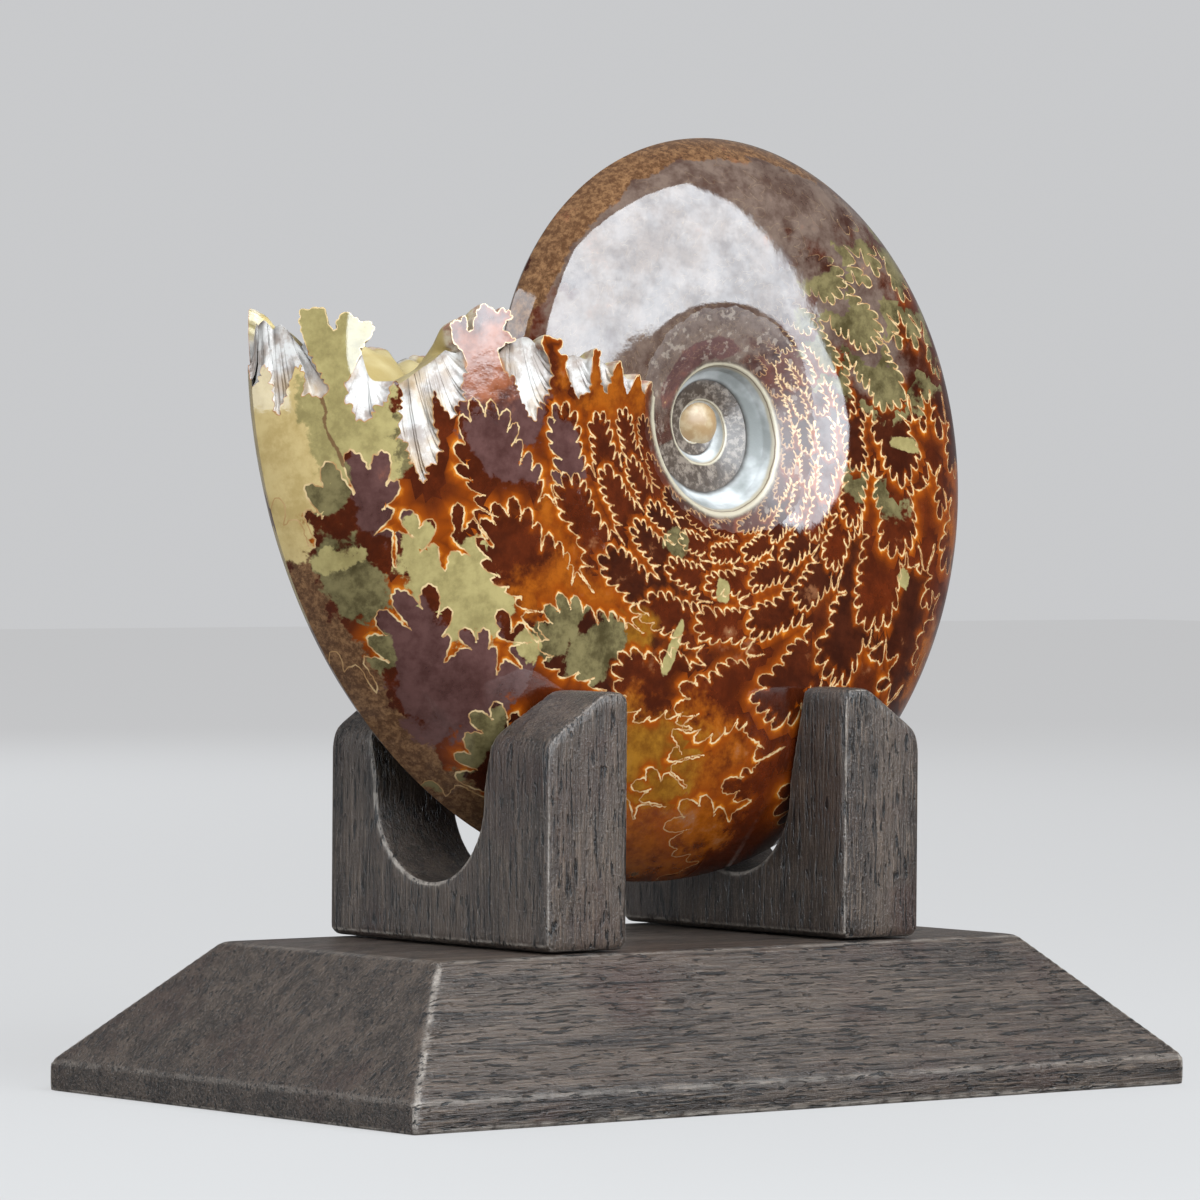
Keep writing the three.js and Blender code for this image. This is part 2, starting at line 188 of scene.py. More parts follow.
# The broken edge on the near side, from the venter to the umbilicus. Each point is an arc share and
# millimetres along the growth direction. A frond stands up flush with the flank. A hollow has its lower
# edge on the flank, and behind it the crest of the septum.
BROKEN_EDGE = (
    ("hollow",
     ((1.0, -8.6), (0.988, -8.3), (0.975, -6), (0.962, -5.3), (0.952, -8.2), (0.947, -13.2), (0.924, -10.2),
      (0.905, -6.5), (0.89, -4.9), (0.877, -6.8), (0.885, -9.6), (0.87, -9.5), (0.844, -9.8), (0.831, -8.2),
      (0.848, -5.7), (0.87, -2.3)),
     ((1.0, 1.6), (0.984, 2.4), (0.97, 1.6), (0.961, 0.9), (0.953, 1.5), (0.94, 1.7), (0.918, 0.5),
      (0.904, -0.9), (0.891, -1.5), (0.88, -0.4))),
    ("frond",
     ((0.88, -0.4), (0.888, 2.0), (0.887, 3.8), (0.871, 4.2), (0.851, 4.6), (0.835, 4.4), (0.829, 2.7),
      (0.816, 1.0), (0.81, 2.5), (0.804, 3.7), (0.79, 4.1), (0.77, 3.5), (0.759, 3.0), (0.743, 3.1),
      (0.734, 2.7), (0.735, 1.4), (0.754, -0.8), (0.765, -3.1)), ()),
    ("hollow",
     ((0.778, -5.5), (0.796, -7.5), (0.788, -8.4), (0.8, -10.1), (0.783, -10.5), (0.778, -12.7),
      (0.747, -12.6), (0.737, -10.7), (0.711, -9.4), (0.701, -7.3), (0.691, -5.8), (0.68, -6.2),
      (0.677, -8.6), (0.69, -15.0), (0.677, -15.4), (0.674, -18.7), (0.664, -20.0), (0.655, -22.4),
      (0.637, -18.9), (0.618, -18.3), (0.602, -14.7), (0.61, -11.1), (0.604, -6.4), (0.588, -8.4),
      (0.561, -10.2), (0.553, -7.9), (0.533, -6.8), (0.536, -4.4), (0.524, -1.1)),
     ((0.754, -1.6), (0.737, -5.4), (0.711, -6.1), (0.687, -6.3), (0.657, -5.2), (0.623, -3.0),
      (0.593, -1.2), (0.563, 1.0))),
    ("frond",
     ((0.537, 0.9), (0.553, 1.6), (0.56, 2.4), (0.568, 4.9), (0.553, 5.6), (0.537, 6.4), (0.529, 5.2),
      (0.523, 4.0), (0.515, 5.8), (0.509, 8.1), (0.498, 8.8), (0.483, 8.8), (0.467, 8.2), (0.446, 8.8),
      (0.425, 8.1), (0.433, 7.1), (0.444, 5.9), (0.426, 5.1), (0.41, 4.5), (0.429, 3.6), (0.45, 2.2),
      (0.446, 1.1)), ()),
    ("hollow",
     ((0.433, -1.0), (0.407, -1.9), (0.395, -4.2), (0.363, -8.0), (0.343, -5.1), (0.32, -2.7), (0.314, 0.1),
      (0.323, 2.6)),
     ((0.42, 3.6), (0.407, 4.2), (0.389, 5.1), (0.369, 5.6), (0.352, 5.2))),
    ("frond",
     ((0.338, 3.7), (0.346, 4.9), (0.343, 5.8), (0.334, 6.2), (0.32, 5.9), (0.303, 6.1), (0.291, 5.2),
      (0.3, 4.0), (0.277, 3.5), (0.279, 1.7)), ()),
    ("hollow",
     ((0.267, -0.1), (0.248, -2.5), (0.228, -1.8), (0.212, -1.1), (0.208, 2.1)),
     ((0.267, 3.6), (0.248, 4.4), (0.227, 4.3))),
    ("frond", ((0.212, 4.2), (0.21, 5.2), (0.202, 5.8), (0.192, 5.4), (0.189, 3.4)), ()),
    ("hollow",
     ((0.182, 1.6), (0.17, -0.7), (0.155, 0.7), (0.147, 2.9)),
     ((0.179, 4.0), (0.164, 4.2), (0.15, 4))),
    ("frond", ((0.144, 4.0), (0.138, 4.6), (0.13, 4.7), (0.12, 3.8)), ()),
    ("hollow", ((0.112, 1.6), (0.097, -0.0), (0.086, 1.2)), ((0.109, 3.4), (0.097, 3.4), (0.088, 3.2))),
    ("frond", ((0.079, 2.6), (0.072, 3.4), (0.065, 3.5), (0.056, 2.8)), ()),
    ("hollow", ((0.05, 1.4), (0.042, 0.8), (0.036, 1.4)), ((0.05, 2.6), (0.042, 2.7), (0.036, 2.5))),
    ("frond", ((0.031, 2.4), (0.026, 2.9), (0.02, 2.9), (0.013, 1.8), (0.006, 1.0), (0, 0.8)), ()),
)
EDGE_STEP = 0.004
CREST_STEP = 0.002
TAIL_POINTS = 40
EDGE_SEED = 51
# Length and height of the small bumps along the edge
SCALLOP_MM = {"frond": (1.9, 0.42), "hollow": (1.5, 0.62)}
SCALLOP_BLUR = 3
SCALLOP_DRIFT = 0.3
SCALLOP_SIZES = (0.2, 1.9)
SPLINE_POINTS = 14
HAND = {-1: "near", 1: "far"}


def smooth_line(points, step):
    """A Catmull-Rom line through the points, resampled evenly."""
    points = np.asarray(points, float)
    padded = np.vstack([2 * points[0] - points[1], points, 2 * points[-1] - points[-2]])
    pieces = []
    for a, b, c, d in zip(padded[:-3], padded[1:-2], padded[2:-1], padded[3:]):
        t = np.linspace(0, 1, SPLINE_POINTS, endpoint=False)[:, None]
        second, third = 2 * a - 5 * b + 4 * c - d, 3 * b - a - 3 * c + d
        pieces.append(0.5 * (2 * b + (c - a) * t + second * t**2 + third * t**3))
    return resample(np.vstack([*pieces, points[-1:]]), step)


def resample(line, step):
    length = np.concatenate([[0], np.cumsum(np.hypot(*np.diff(line[:, :2], axis=0).T))])
    count = max(2, int(round(length[-1] / step)) + 1)
    even = np.linspace(0, length[-1], count)
    return np.stack([np.interp(even, length, column) for column in line.T], -1)


def blurred(line, reach):
    if reach == 0:
        return line
    span = int(3 * reach)
    weight = np.exp(-0.5 * (np.arange(-span, span + 1) / reach) ** 2)
    weight /= weight.sum()
    padded = np.pad(line, ((span, span), (0, 0)), mode="edge")
    return np.stack([np.convolve(padded[:, i], weight, mode="valid") for i in range(line.shape[1])], -1)


def directions(line):
    """Unit tangents and normals of a line in the unrolled plane."""
    tangent = np.gradient(line[:, :2], axis=0)
    tangent /= np.linalg.norm(tangent, axis=1)[:, None] + TINY
    return tangent, np.stack([-tangent[:, 1], tangent[:, 0]], -1)


def edge_points(rows, side):
    """Rows of the broken edge as angle and conformal place. The far side is worn a little differently."""
    arc, mm = np.array(rows, float).T
    if side > 0:
        ripple = 0.6 * np.sin(23 * arc) * np.clip((1 - arc) * 20, 0, 1)
        mm = mm * (0.9 + 0.25 * np.sin(9 * arc + 0.6)) + ripple
        arc = arc + 0.012 * np.sin(11 * arc) * np.clip((1 - arc) * 10, 0, 1) * np.clip(arc * 10, 0, 1)
    return np.stack([ahead_of(mm, arc), conform_at(arc)], -1)


def scalloped(line, wave_mm, height_mm, rng):
    """Small rounded bumps along the outside of a line, with points between them, fading out at its ends."""
    _, normal = directions(blurred(line, SCALLOP_BLUR))
    scale = share_at(arc_of(line[:, 1])) * spiral_radius(line[:, 0])
    run = np.hypot(*np.diff(line, axis=0).T) * scale[1:]
    length = np.concatenate([[0], np.cumsum(run)])
    fade = np.clip(np.minimum(length, length[-1] - length) / (0.6 * wave_mm), 0, 1)
    knots = np.arange(0, length[-1] + wave_mm, wave_mm)
    phase = length / wave_mm + np.interp(length, knots, rng.normal(0, SCALLOP_DRIFT, len(knots)))
    size = np.clip(1 + 0.5 * np.interp(length, knots, rng.normal(0, 1, len(knots))), *SCALLOP_SIZES)
    bumps = np.abs(np.sin(math.pi * phase)) ** 0.8 - 0.62
    return line + normal * (height_mm * size * fade * bumps / scale)[:, None]


def broken_edge(side):
    """Matching lines along the wall's edge and the crest behind it, with a hollow flag for each point."""
    wall, crest, hollow = [], [], []
    rng = np.random.default_rng(EDGE_SEED + side)
    for kind, low, high in BROKEN_EDGE:
        low_line = smooth_line(edge_points(low, side), EDGE_STEP)
        low_line = scalloped(low_line, *SCALLOP_MM[kind], rng)
        count = len(low_line)
        if kind == "hollow":
            rough = smooth_line(edge_points(high, side), CREST_STEP)
            place = np.linspace(0, len(rough) - 1, count)
            index = np.arange(len(rough))
            high_line = np.stack([np.interp(place, index, rough[:, i]) for i in (0, 1)], -1)
        else:
            high_line = low_line.copy()
        wall.append(low_line)
        crest.append(high_line)
        hollow.append(np.full(count, kind == "hollow"))
    wall, crest, hollow = np.vstack(wall), np.vstack(crest), np.concatenate(hollow)
    seam = np.linspace(wall[-1, 1], 0, TAIL_POINTS)[1:]
    tail = np.stack([np.full(len(seam), wall[-1, 0]), seam], -1)
    wall, crest = np.vstack([wall, tail]), np.vstack([crest, tail])
    return wall, crest, np.concatenate([hollow, np.zeros(len(tail), bool)])


# Suture line: one side's run from the venter to the umbilicus, as radians ahead and conformal height above
# the rim. Rounded saddles reach forward and pointed lobes back.
SUTURE_STEP = 0.325
SUTURE_START = 0.013
SUTURE_FORM = (
    (-0.015, 1.724), (-0.020, 1.700), (-0.075, 1.675), (-0.090, 1.645), (-0.040, 1.618), (0.012, 1.600),
    (0.020, 1.560), (0.045, 1.525), (0.040, 1.480), (-0.010, 1.458), (-0.060, 1.475), (-0.105, 1.500),
    (-0.150, 1.500), (-0.160, 1.462), (-0.115, 1.440), (-0.100, 1.418), (-0.135, 1.395), (-0.195, 1.405),
    (-0.228, 1.385), (-0.218, 1.335), (-0.165, 1.325), (-0.120, 1.338), (-0.118, 1.306), (-0.165, 1.290),
    (-0.180, 1.250), (-0.130, 1.222), (-0.070, 1.232), (-0.010, 1.262), (0.060, 1.258), (0.120, 1.218),
    (0.155, 1.160), (0.145, 1.100), (0.090, 1.065), (0.035, 1.055), (-0.010, 1.024), (-0.060, 1.000),
    (-0.115, 1.012), (-0.158, 1.005), (-0.162, 0.952), (-0.115, 0.925), (-0.060, 0.910), (0.000, 0.905),
    (0.080, 0.918), (0.150, 0.900), (0.180, 0.845), (0.155, 0.785), (0.090, 0.765), (0.020, 0.766),
    (-0.030, 0.758), (-0.075, 0.755), (-0.118, 0.745), (-0.120, 0.692), (-0.075, 0.672), (-0.010, 0.662),
    (0.070, 0.666), (0.140, 0.655), (0.165, 0.605), (0.140, 0.552), (0.070, 0.537), (0.000, 0.530),
    (-0.055, 0.524), (-0.095, 0.505), (-0.093, 0.460), (-0.040, 0.444), (0.020, 0.447), (0.080, 0.456),
    (0.140, 0.446), (0.165, 0.396), (0.140, 0.342), (0.070, 0.328), (0.000, 0.325), (-0.050, 0.317),
    (-0.088, 0.300), (-0.088, 0.256), (-0.040, 0.240), (0.020, 0.236), (0.080, 0.236), (0.140, 0.222),
    (0.165, 0.172), (0.140, 0.120), (0.070, 0.105), (0.000, 0.100), (-0.050, 0.085), (-0.050, 0.050),
    (0.000, 0.035), (0.060, 0.030), (0.100, 0.000), (0.080, -0.060), (0.050, -0.200), (0.030, -0.400),
    (0.000, -0.600), (0.000, -0.800),
)
FRILL_WAVE = 0.058
FRILL_HEIGHT = 0.028
FRILL_LEAN = 0.008
FRILL_SWEEP = 0.7
FRILL_POINTS = 16
# Wave, height and lean of the finest teeth
CRENULATION = (0.020, 0.0017, 0.0)
SUTURE_SEED = 100
# How far the frills fade out below the venter, in the youngest sutures and in the others
VENTER_CALM = (0.10, 0.30)
YOUNG_SUTURES = 3
LOOP_REACH = 60
LINE_STEP = 0.0085
OLDEST = -2 * math.pi - 0.5


def frilled(line, wave, height, lean, rng, fade):
    """Adds rounded leaflets on the younger side of a line, with pointed cuts between them."""
    line = resample(line, wave / FRILL_POINTS)
    tangent, normal = directions(line)
    length = np.arange(len(line)) / FRILL_POINTS
    drift = np.interp(length, np.linspace(0, length[-1], 40), rng.normal(0, 0.22, 40))
    phase = length + drift
    count = int(phase.max()) + 3
    size = 1 + 0.35 * np.interp(phase, np.arange(count), rng.normal(0, 1, count))
    size = np.clip(size, 0.5, 1.5) * fade(line)
    wave_height = np.abs(np.sin(math.pi * phase)) ** 1.25
    out = line.copy()
    out[:, :2] += (normal + (FRILL_SWEEP, 0)) * (height * size * (1.8 * wave_height - 1.05))[:, None]
    out[:, :2] -= tangent * (lean * size * np.sin(2 * math.pi * phase))[:, None]
    tip = np.clip(2.2 * np.abs(wave_height - 0.5) - 0.2, 0, 1) * np.clip(size, 0, 1)
    out[:, 2] = np.maximum(out[:, 2], tip)
    return out


def without_loops(line, reach):
    """The line with its small loops cut off where it crosses itself."""
    kept = [line[0]]
    i = 0
    while i < len(line) - 1:
        a, b = line[i, :2], line[i + 1, :2]
        c, d = line[i + 2 : i + reach, :2], line[i + 3 : i + reach + 1, :2]
        c = c[: len(d)]
        run, other = b - a, d - c
        cross = run[0] * other[:, 1] - run[1] * other[:, 0]
        cross = np.where(np.abs(cross) < 1e-15, 1e-15, cross)
        gap = c - a
        t = (gap[:, 0] * other[:, 1] - gap[:, 1] * other[:, 0]) / cross
        u = (gap[:, 0] * run[1] - gap[:, 1] * run[0]) / cross
        hits = np.flatnonzero((t > 0) & (t < 1) & (u > 0) & (u < 1))
        if len(hits):
            i += 2 + hits[-1]
        i += 1
        kept.append(line[min(i, len(line) - 1)])
    return np.array(kept)


def suture(index, side, step):
    """One suture as radians ahead, conformal place and how near each point is to a leaflet's tip."""
    rng = np.random.default_rng(SUTURE_SEED + 7 * index + side)
    rise, above = np.array(SUTURE_FORM).T
    wobble = rng.normal(0, 1, 12)
    spread = np.interp(above, np.linspace(-0.8, CONFORM_VENTER, 12), wobble)
    rise = rise * (1 + 0.07 * spread) + 0.008 * wobble[0]
    above = above + 0.009 * spread[::-1] * np.clip((1.7 - above) * 10, 0, 1)
    line = np.stack([SUTURE_START - index * SUTURE_STEP + rise, CONFORM_RIM + above], -1)
    line[0] = (SUTURE_START - index * SUTURE_STEP - 0.015, CONFORM_VENTER)
    line = smooth_line(line, 0.01)
    line = np.column_stack([line, np.zeros(len(line))])
    calm = VENTER_CALM[0 if index <= YOUNG_SUTURES else 1]

    def fade(points):
        low = np.clip((points[:, 1] - CONFORM_RIM + 0.02) / 0.12, 0, 1)
        high = np.clip((CONFORM_VENTER + 0.01 - points[:, 1]) / calm, 0, 1)
        return low * high

    line = frilled(line, FRILL_WAVE, FRILL_HEIGHT, FRILL_LEAN, rng, fade)
    tips = line[:, 2].copy()
    line = frilled(line, *CRENULATION, rng, fade)
    line[:, 2] = np.interp(np.linspace(0, 1, len(line)), np.linspace(0, 1, len(tips)), tips)
    line[:, 1] = np.clip(line[:, 1], 0.002, CONFORM_VENTER - 0.0005)
    line = without_loops(resample(line, step), LOOP_REACH)
    return line[line[:, 1] > 0.004]


def lattice(rows_from, rows_to, step):
    """Even points over the unrolled flank."""
    points = []
    rise = step * 0.866
    for j, q in enumerate(np.arange(rise * 0.5, CONFORM_VENTER, rise)):
        x = np.arange(rows_from + (j % 2) * step / 2, rows_to, step)
        points.append(np.stack([x, np.full(len(x), q)], -1))
    return np.vstack(points)


def inside(points, polygon):
    """Which points lie in a closed polygon."""
    x, y = points.T
    hit = np.zeros(len(points), bool)
    for (x0, y0), (x1, y1) in zip(polygon, np.roll(polygon, -1, axis=0)):
        crosses = (y0 > y) != (y1 > y)
        if y1 != y0:
            hit ^= crosses & (x < (x1 - x0) * (y - y0) / (y1 - y0) + x0)
    return hit


class Lines:
    """Nearest place on the suture lines of one side."""

    def __init__(self, lines):
        self.points = np.vstack(lines)[:, :2]
        self.tips = np.concatenate([line[:, 2] for line in lines])
        self.index = np.concatenate([np.full(len(line), i) for i, line in enumerate(lines)])
        ends = np.cumsum([len(line) for line in lines])
        self.first = np.zeros(len(self.points), bool)
        self.last = np.zeros(len(self.points), bool)
        self.first[np.concatenate([[0], ends[:-1]])] = True
        self.last[ends - 1] = True
        self.tree = kdtree.KDTree(len(self.points))
        for i, (x, y) in enumerate(self.points):
            self.tree.insert((x, y, 0), i)
        self.tree.balance()

    def measure(self, places):
        """Signed distance, positive on the younger side, suture index and tip value of each place."""
        near = np.array([self.tree.find((x, y, 0))[1] for x, y in places])
        before = np.where(self.first[near], near, near - 1)
        after = np.where(self.last[near], near, near + 1)
        best = np.full(len(places), 1e9)
        turn = np.zeros(len(places))
        for a, b in ((before, near), (near, after)):
            pa, pb = self.points[a], self.points[b]
            run = pb - pa
            size = (run**2).sum(1) + 1e-18
            t = np.clip(((places - pa) * run).sum(1) / size, 0, 1)
            gap = places - (pa + run * t[:, None])
            distance = np.linalg.norm(gap, axis=1)
            side = -(run[:, 1] * gap[:, 0] - run[:, 0] * gap[:, 1]) / np.sqrt(size)
            closer = distance < best - 1e-9
            tie = np.abs(distance - best) <= 1e-9
            turn = np.where(tie, turn + side, np.where(closer, side, turn))
            best = np.where(closer, distance, best)
        sign = np.where(turn >= 0, 1, -1)
        return best * sign, self.index[near], self.tips[near]


def new_object(name, points, faces):
    mesh = bpy.data.meshes.new(name)
    mesh.from_pydata([tuple(p) for p in points], [], [tuple(f) for f in faces])
    mesh.validate()
    mesh.shade_smooth()
    piece = bpy.data.objects.new(name, mesh)
    bpy.context.scene.collection.objects.link(piece)
    return piece


def quads(start, rows, width, flipped):
    """Faces between rows of points that are numbered from start."""
    made = []
    for r in range(rows - 1):
        for i in range(width - 1):
            a = start + r * width + i
            quad = (a, a + 1, a + width + 1, a + width)
            made.append(quad[::-1] if flipped else quad)
    return made


# Border of the unpolished shoulder around the umbilicus: radians ahead and conformal height above the rim
SHOULDER = (
    (0.10, 0.15), (-1.20, 0.16), (-1.80, 0.22), (-2.33, 0.38), (-2.77, 0.41), (-3.20, 0.47), (-3.54, 0.54),
    (-4.05, 0.64), (-4.59, 0.69), (-5.20, 0.74), (-5.70, 0.75), (-6.30, 0.70), (-7.00, 0.70),
)


def shoulder_height(ahead):
    knots = np.array(SHOULDER)[::-1]
    ripple = 0.010 * np.sin(17 * ahead) + 0.006 * np.sin(41 * ahead + 1) + 0.003 * np.sin(97 * ahead + 2)
    return CONFORM_RIM + np.interp(ahead, knots[:, 0], knots[:, 1]) + ripple


# A brown crack in the near flank, below the broken edge: radians ahead and conformal height above the rim
CRACK = (
    (-0.075, 1.605), (-0.088, 1.594), (-0.108, 1.588), (-0.128, 1.577), (-0.148, 1.573), (-0.165, 1.579),
    (-0.186, 1.577), (-0.204, 1.571), (-0.222, 1.562), (-0.240, 1.556), (-0.262, 1.553),
)
CRACK_SIDE = -1
CRACK_STEP = 0.002
CRACK_AREA = (-0.4, 1.4)
FAR_AWAY = 9.0


def crack_line(step):
    line = resample(np.array(CRACK), step)
    return line + (0, CONFORM_RIM)


def crack_distance(places, side):
    """Distance to the crack, or a large one on the side that has none."""
    if side != CRACK_SIDE:
        return np.full(len(places), FAR_AWAY)
    line = crack_line(CRACK_STEP)
    gap = np.full(len(places), FAR_AWAY)
    near_it = np.flatnonzero((places[:, 0] > CRACK_AREA[0]) & (places[:, 1] > CONFORM_RIM + CRACK_AREA[1]))
    gap[near_it] = np.linalg.norm(places[near_it, None] - line[None], axis=2).min(1)
    return gap


# Meshing of the unrolled flank. Farther back than EDGE_REACH, nothing is cut by the broken edge.
EDGE_REACH = -0.75
VENTER_POINTS = 520
SEAM_POINTS = 200
OLD_END_POINTS = 60
BORDER_STEP = 0.012
BESIDE_LINE = 0.0105
BESIDE_CLEARANCE = 0.0065
GRID_CLEARANCE = 0.0165
CRACK_CLEARANCE = 0.012
GAP_CLEARANCE = 0.0016


def triangulated(points, edges):
    made = geometry.delaunay_2d_cdt([Vector(p) for p in points], edges, [], 0, 1e-6)
    return np.array([tuple(p) for p in made[0]]), np.array(made[2])


def gap_middles(flat, faces, nearest):
    """Points halfway across narrow gaps, where a triangle would reach from one line straight to another."""
    on_line = np.abs(nearest.measure(flat)[0]) < 1e-5
    pairs = np.sort(np.vstack([faces[:, :2], faces[:, 1:], faces[:, ::2]]), axis=1)
    pairs = np.unique(pairs, axis=0)
    pairs = pairs[on_line[pairs].all(1)]
    middles = flat[pairs].mean(1)
    return middles[np.abs(nearest.measure(middles)[0]) > GAP_CLEARANCE]


def unrolled_flank(side, step, line_step):
    """Triangles of one flank in the unrolled plane, with the suture lines among their edges."""
    wall, _, hollow = broken_edge(side)
    count = int((SUTURE_START - OLDEST) / SUTURE_STEP)
    lines = [suture(i, side, line_step) for i in range(1, count + 1)]
    lines = [line for line in lines if line[:, 0].min() > OLDEST + 0.02]
    venter = np.linspace(OLDEST, wall[0, 0], VENTER_POINTS)
    seam = np.linspace(wall[-1, 0], OLDEST, SEAM_POINTS)
    old_end = np.linspace(0, CONFORM_VENTER, OLD_END_POINTS)
    outline = np.vstack([
        np.stack([venter, np.full(VENTER_POINTS, CONFORM_VENTER)], -1),
        wall[1:],
        np.stack([seam, np.zeros(SEAM_POINTS)], -1)[1:],
        np.stack([np.full(OLD_END_POINTS, OLDEST), old_end], -1)[1:-1],
    ])
    points, edges = [*outline], [(i, (i + 1) % len(outline)) for i in range(len(outline))]

    def add_line(line, longest=np.inf):
        start = len(points)
        points.extend(line)
        gaps = np.linalg.norm(np.diff(line, axis=0), axis=1)
        edges.extend((start + i, start + i + 1) for i, gap in enumerate(gaps) if gap < longest)

    for line in lines:
        cut = line[:, 0].max() > EDGE_REACH
        add_line(line[inside(line[:, :2], outline), :2] if cut else line[:, :2], 3 * line_step)
    border = np.arange(OLDEST, -0.02, BORDER_STEP)
    add_line(np.stack([border, shoulder_height(border)], -1))
    if side == CRACK_SIDE:
        add_line(crack_line(line_step))
    edge_line = np.column_stack([wall, np.where(hollow, 0.0, 1.0)])
    nearest = Lines([edge_line, *lines])
    beside = []
    for line in lines:
        _, normal = directions(line)
        for offset in (-BESIDE_LINE, BESIDE_LINE):
            beside.append((line[:, :2] + offset * normal)[::2])
    beside = np.vstack(beside)
    beside = beside[np.abs(nearest.measure(beside)[0]) > BESIDE_CLEARANCE]
    grid = lattice(OLDEST + step / 2, 0.25, step)
    grid = grid[np.abs(nearest.measure(grid)[0]) > GRID_CLEARANCE]
    grid = grid[crack_distance(grid, side) > CRACK_CLEARANCE]
    free = np.vstack([beside, grid])
    free = free[(free[:, 0] > OLDEST + 0.004) & (free[:, 1] > 0.006) & (free[:, 1] < CONFORM_VENTER - 0.004)]
    free = free[(free[:, 0] < EDGE_REACH) | inside(free, outline)]
    everything = np.vstack([points, free])
    flat, faces = triangulated(everything, edges)
    between = gap_middles(flat, faces, nearest)
    between = between[(between[:, 0] < EDGE_REACH) | inside(between, outline)]
    flat, faces = triangulated(np.vstack([everything, between]), edges)
    middle = flat[faces].mean(1)
    keep = np.ones(len(faces), bool)
    doubtful = middle[:, 0] > EDGE_REACH
    keep[doubtful] = inside(middle[doubtful], outline)
    faces = faces[keep]
    used = np.unique(faces)
    renumber = np.full(len(flat), -1)
    renumber[used] = np.arange(len(used))
    return flat[used], renumber[faces], nearest


def corner_values(mesh, name, values):
    colour = np.ndim(values) == 2
    attribute = mesh.attributes.new(name, "FLOAT_COLOR" if colour else "FLOAT", "CORNER")
    if colour:
        colours = np.ones((len(values), 4), np.float32)
        colours[:, :3] = values
        attribute.data.foreach_set("color", colours.ravel())
    else:
        attribute.data.foreach_set("value", np.ascontiguousarray(values, np.float32))


def point_values(mesh, name, values):
    attribute = mesh.attributes.new(name, "FLOAT", "POINT")
    attribute.data.foreach_set("value", np.array(values, np.float32))


# Coloured areas of the mineral: kind, radians ahead, conformal height above the rim, half sizes, and the
# chamber counted back from the opening, "leaf" for the older side of every suture, or None for any
KINDS = ("cream", "straw", "olive", "purple", "brown", "amber", "gold", "mauve", "pink")
PATCHES = (
    ("straw", 0.04, 1.56, 0.10, 0.12, 0),
    ("pink", 0.03, 1.72, 0.05, 0.06, 0),
    ("cream", -0.22, 1.70, 0.20, 0.085, 0),
    ("cream", -0.36, 1.72, 0.07, 0.07, 1),
    ("straw", -0.16, 1.56, 0.14, 0.13, 0),
    ("olive", -0.22, 1.44, 0.07, 0.05, 0),
    ("olive", -0.30, 1.60, 0.05, 0.055, 1),
    ("purple", -0.34, 1.49, 0.10, 0.065, 1),
    ("straw", -0.49, 1.43, 0.09, 0.04, 1),
    ("olive", -0.50, 1.60, 0.11, 0.06, 1),
    ("straw", -0.45, 1.60, 0.03, 0.06, 1),
    ("straw", -0.62, 1.375, 0.14, 0.12, 1),
    ("olive", -0.66, 1.61, 0.06, 0.03, 2),
    ("purple", -0.70, 1.53, 0.16, 0.08, 2),
    ("purple", -0.82, 1.48, 0.12, 0.16, 2),
    ("straw", -0.845, 1.297, 0.05, 0.035, None),
    ("olive", -0.91, 1.58, 0.10, 0.12, 3),
    ("olive", -0.87, 1.25, 0.06, 0.05, None),
    ("olive", -0.84, 1.12, 0.08, 0.10, 3),
    ("olive", -1.04, 1.13, 0.08, 0.13, 3),
    ("gold", -1.12, 0.97, 0.09, 0.08, None),
    ("brown", -0.95, 1.72, 0.52, 0.085, None),
    ("pink", 0.0, 1.16, 0.11, 0.12, 0),
    ("purple", -0.14, 1.08, 0.12, 0.17, 0),
    ("purple", -0.26, 1.08, 0.13, 0.15, 1),
    ("purple", -0.30, 0.85, 0.15, 0.09, 1),
    ("purple", -0.2, 0.92, 0.12, 0.08, 1),
    ("amber", 0.0, 0.42, 0.16, 0.36, 0),
    ("amber", -0.74, 1.11, 0.09, 0.14, 2),
    ("amber", -0.90, 0.98, 0.10, 0.06, 2),
    ("amber", -0.60, 1.01, 0.13, 0.05, 1),
    ("amber", -1.45, 1.45, 0.25, 0.26, None),
    ("gold", -1.40, 1.34, 0.16, 0.13, None),
    ("straw", -1.56, 0.635, 0.055, 0.075, None),
    ("straw", -1.33, 0.98, 0.025, 0.12, None),
    ("olive", -1.12, 0.45, 0.10, 0.10, None),
    ("straw", -2.69, 1.27, 0.035, 0.035, None),
    ("straw", -3.24, 1.2, 0.035, 0.10, None),
    ("amber", -3.05, 1.60, 0.14, 0.12, None),
    ("amber", -2.55, 1.62, 0.12, 0.12, None),
    ("mauve", -3.66, 1.12, 0.15, 0.20, None),
    ("olive", -3.80, 1.10, 0.42, 0.50, "leaf"),
    ("olive", -2.95, 0.95, 0.10, 0.22, "leaf"),
    ("mauve", -3.98, 1.10, 0.20, 0.28, None),
    ("mauve", -5.2, 0.9, 1.15, 0.75, None),
    ("mauve", -4.9, 1.45, 1.00, 0.24, None),
    ("mauve", -4.9, 0.05, 0.60, 0.33, None),
    ("brown", -5.2, 1.66, 0.85, 0.085, None),
    ("purple", -5.35, 0.25, 0.7, 0.16, None),
)


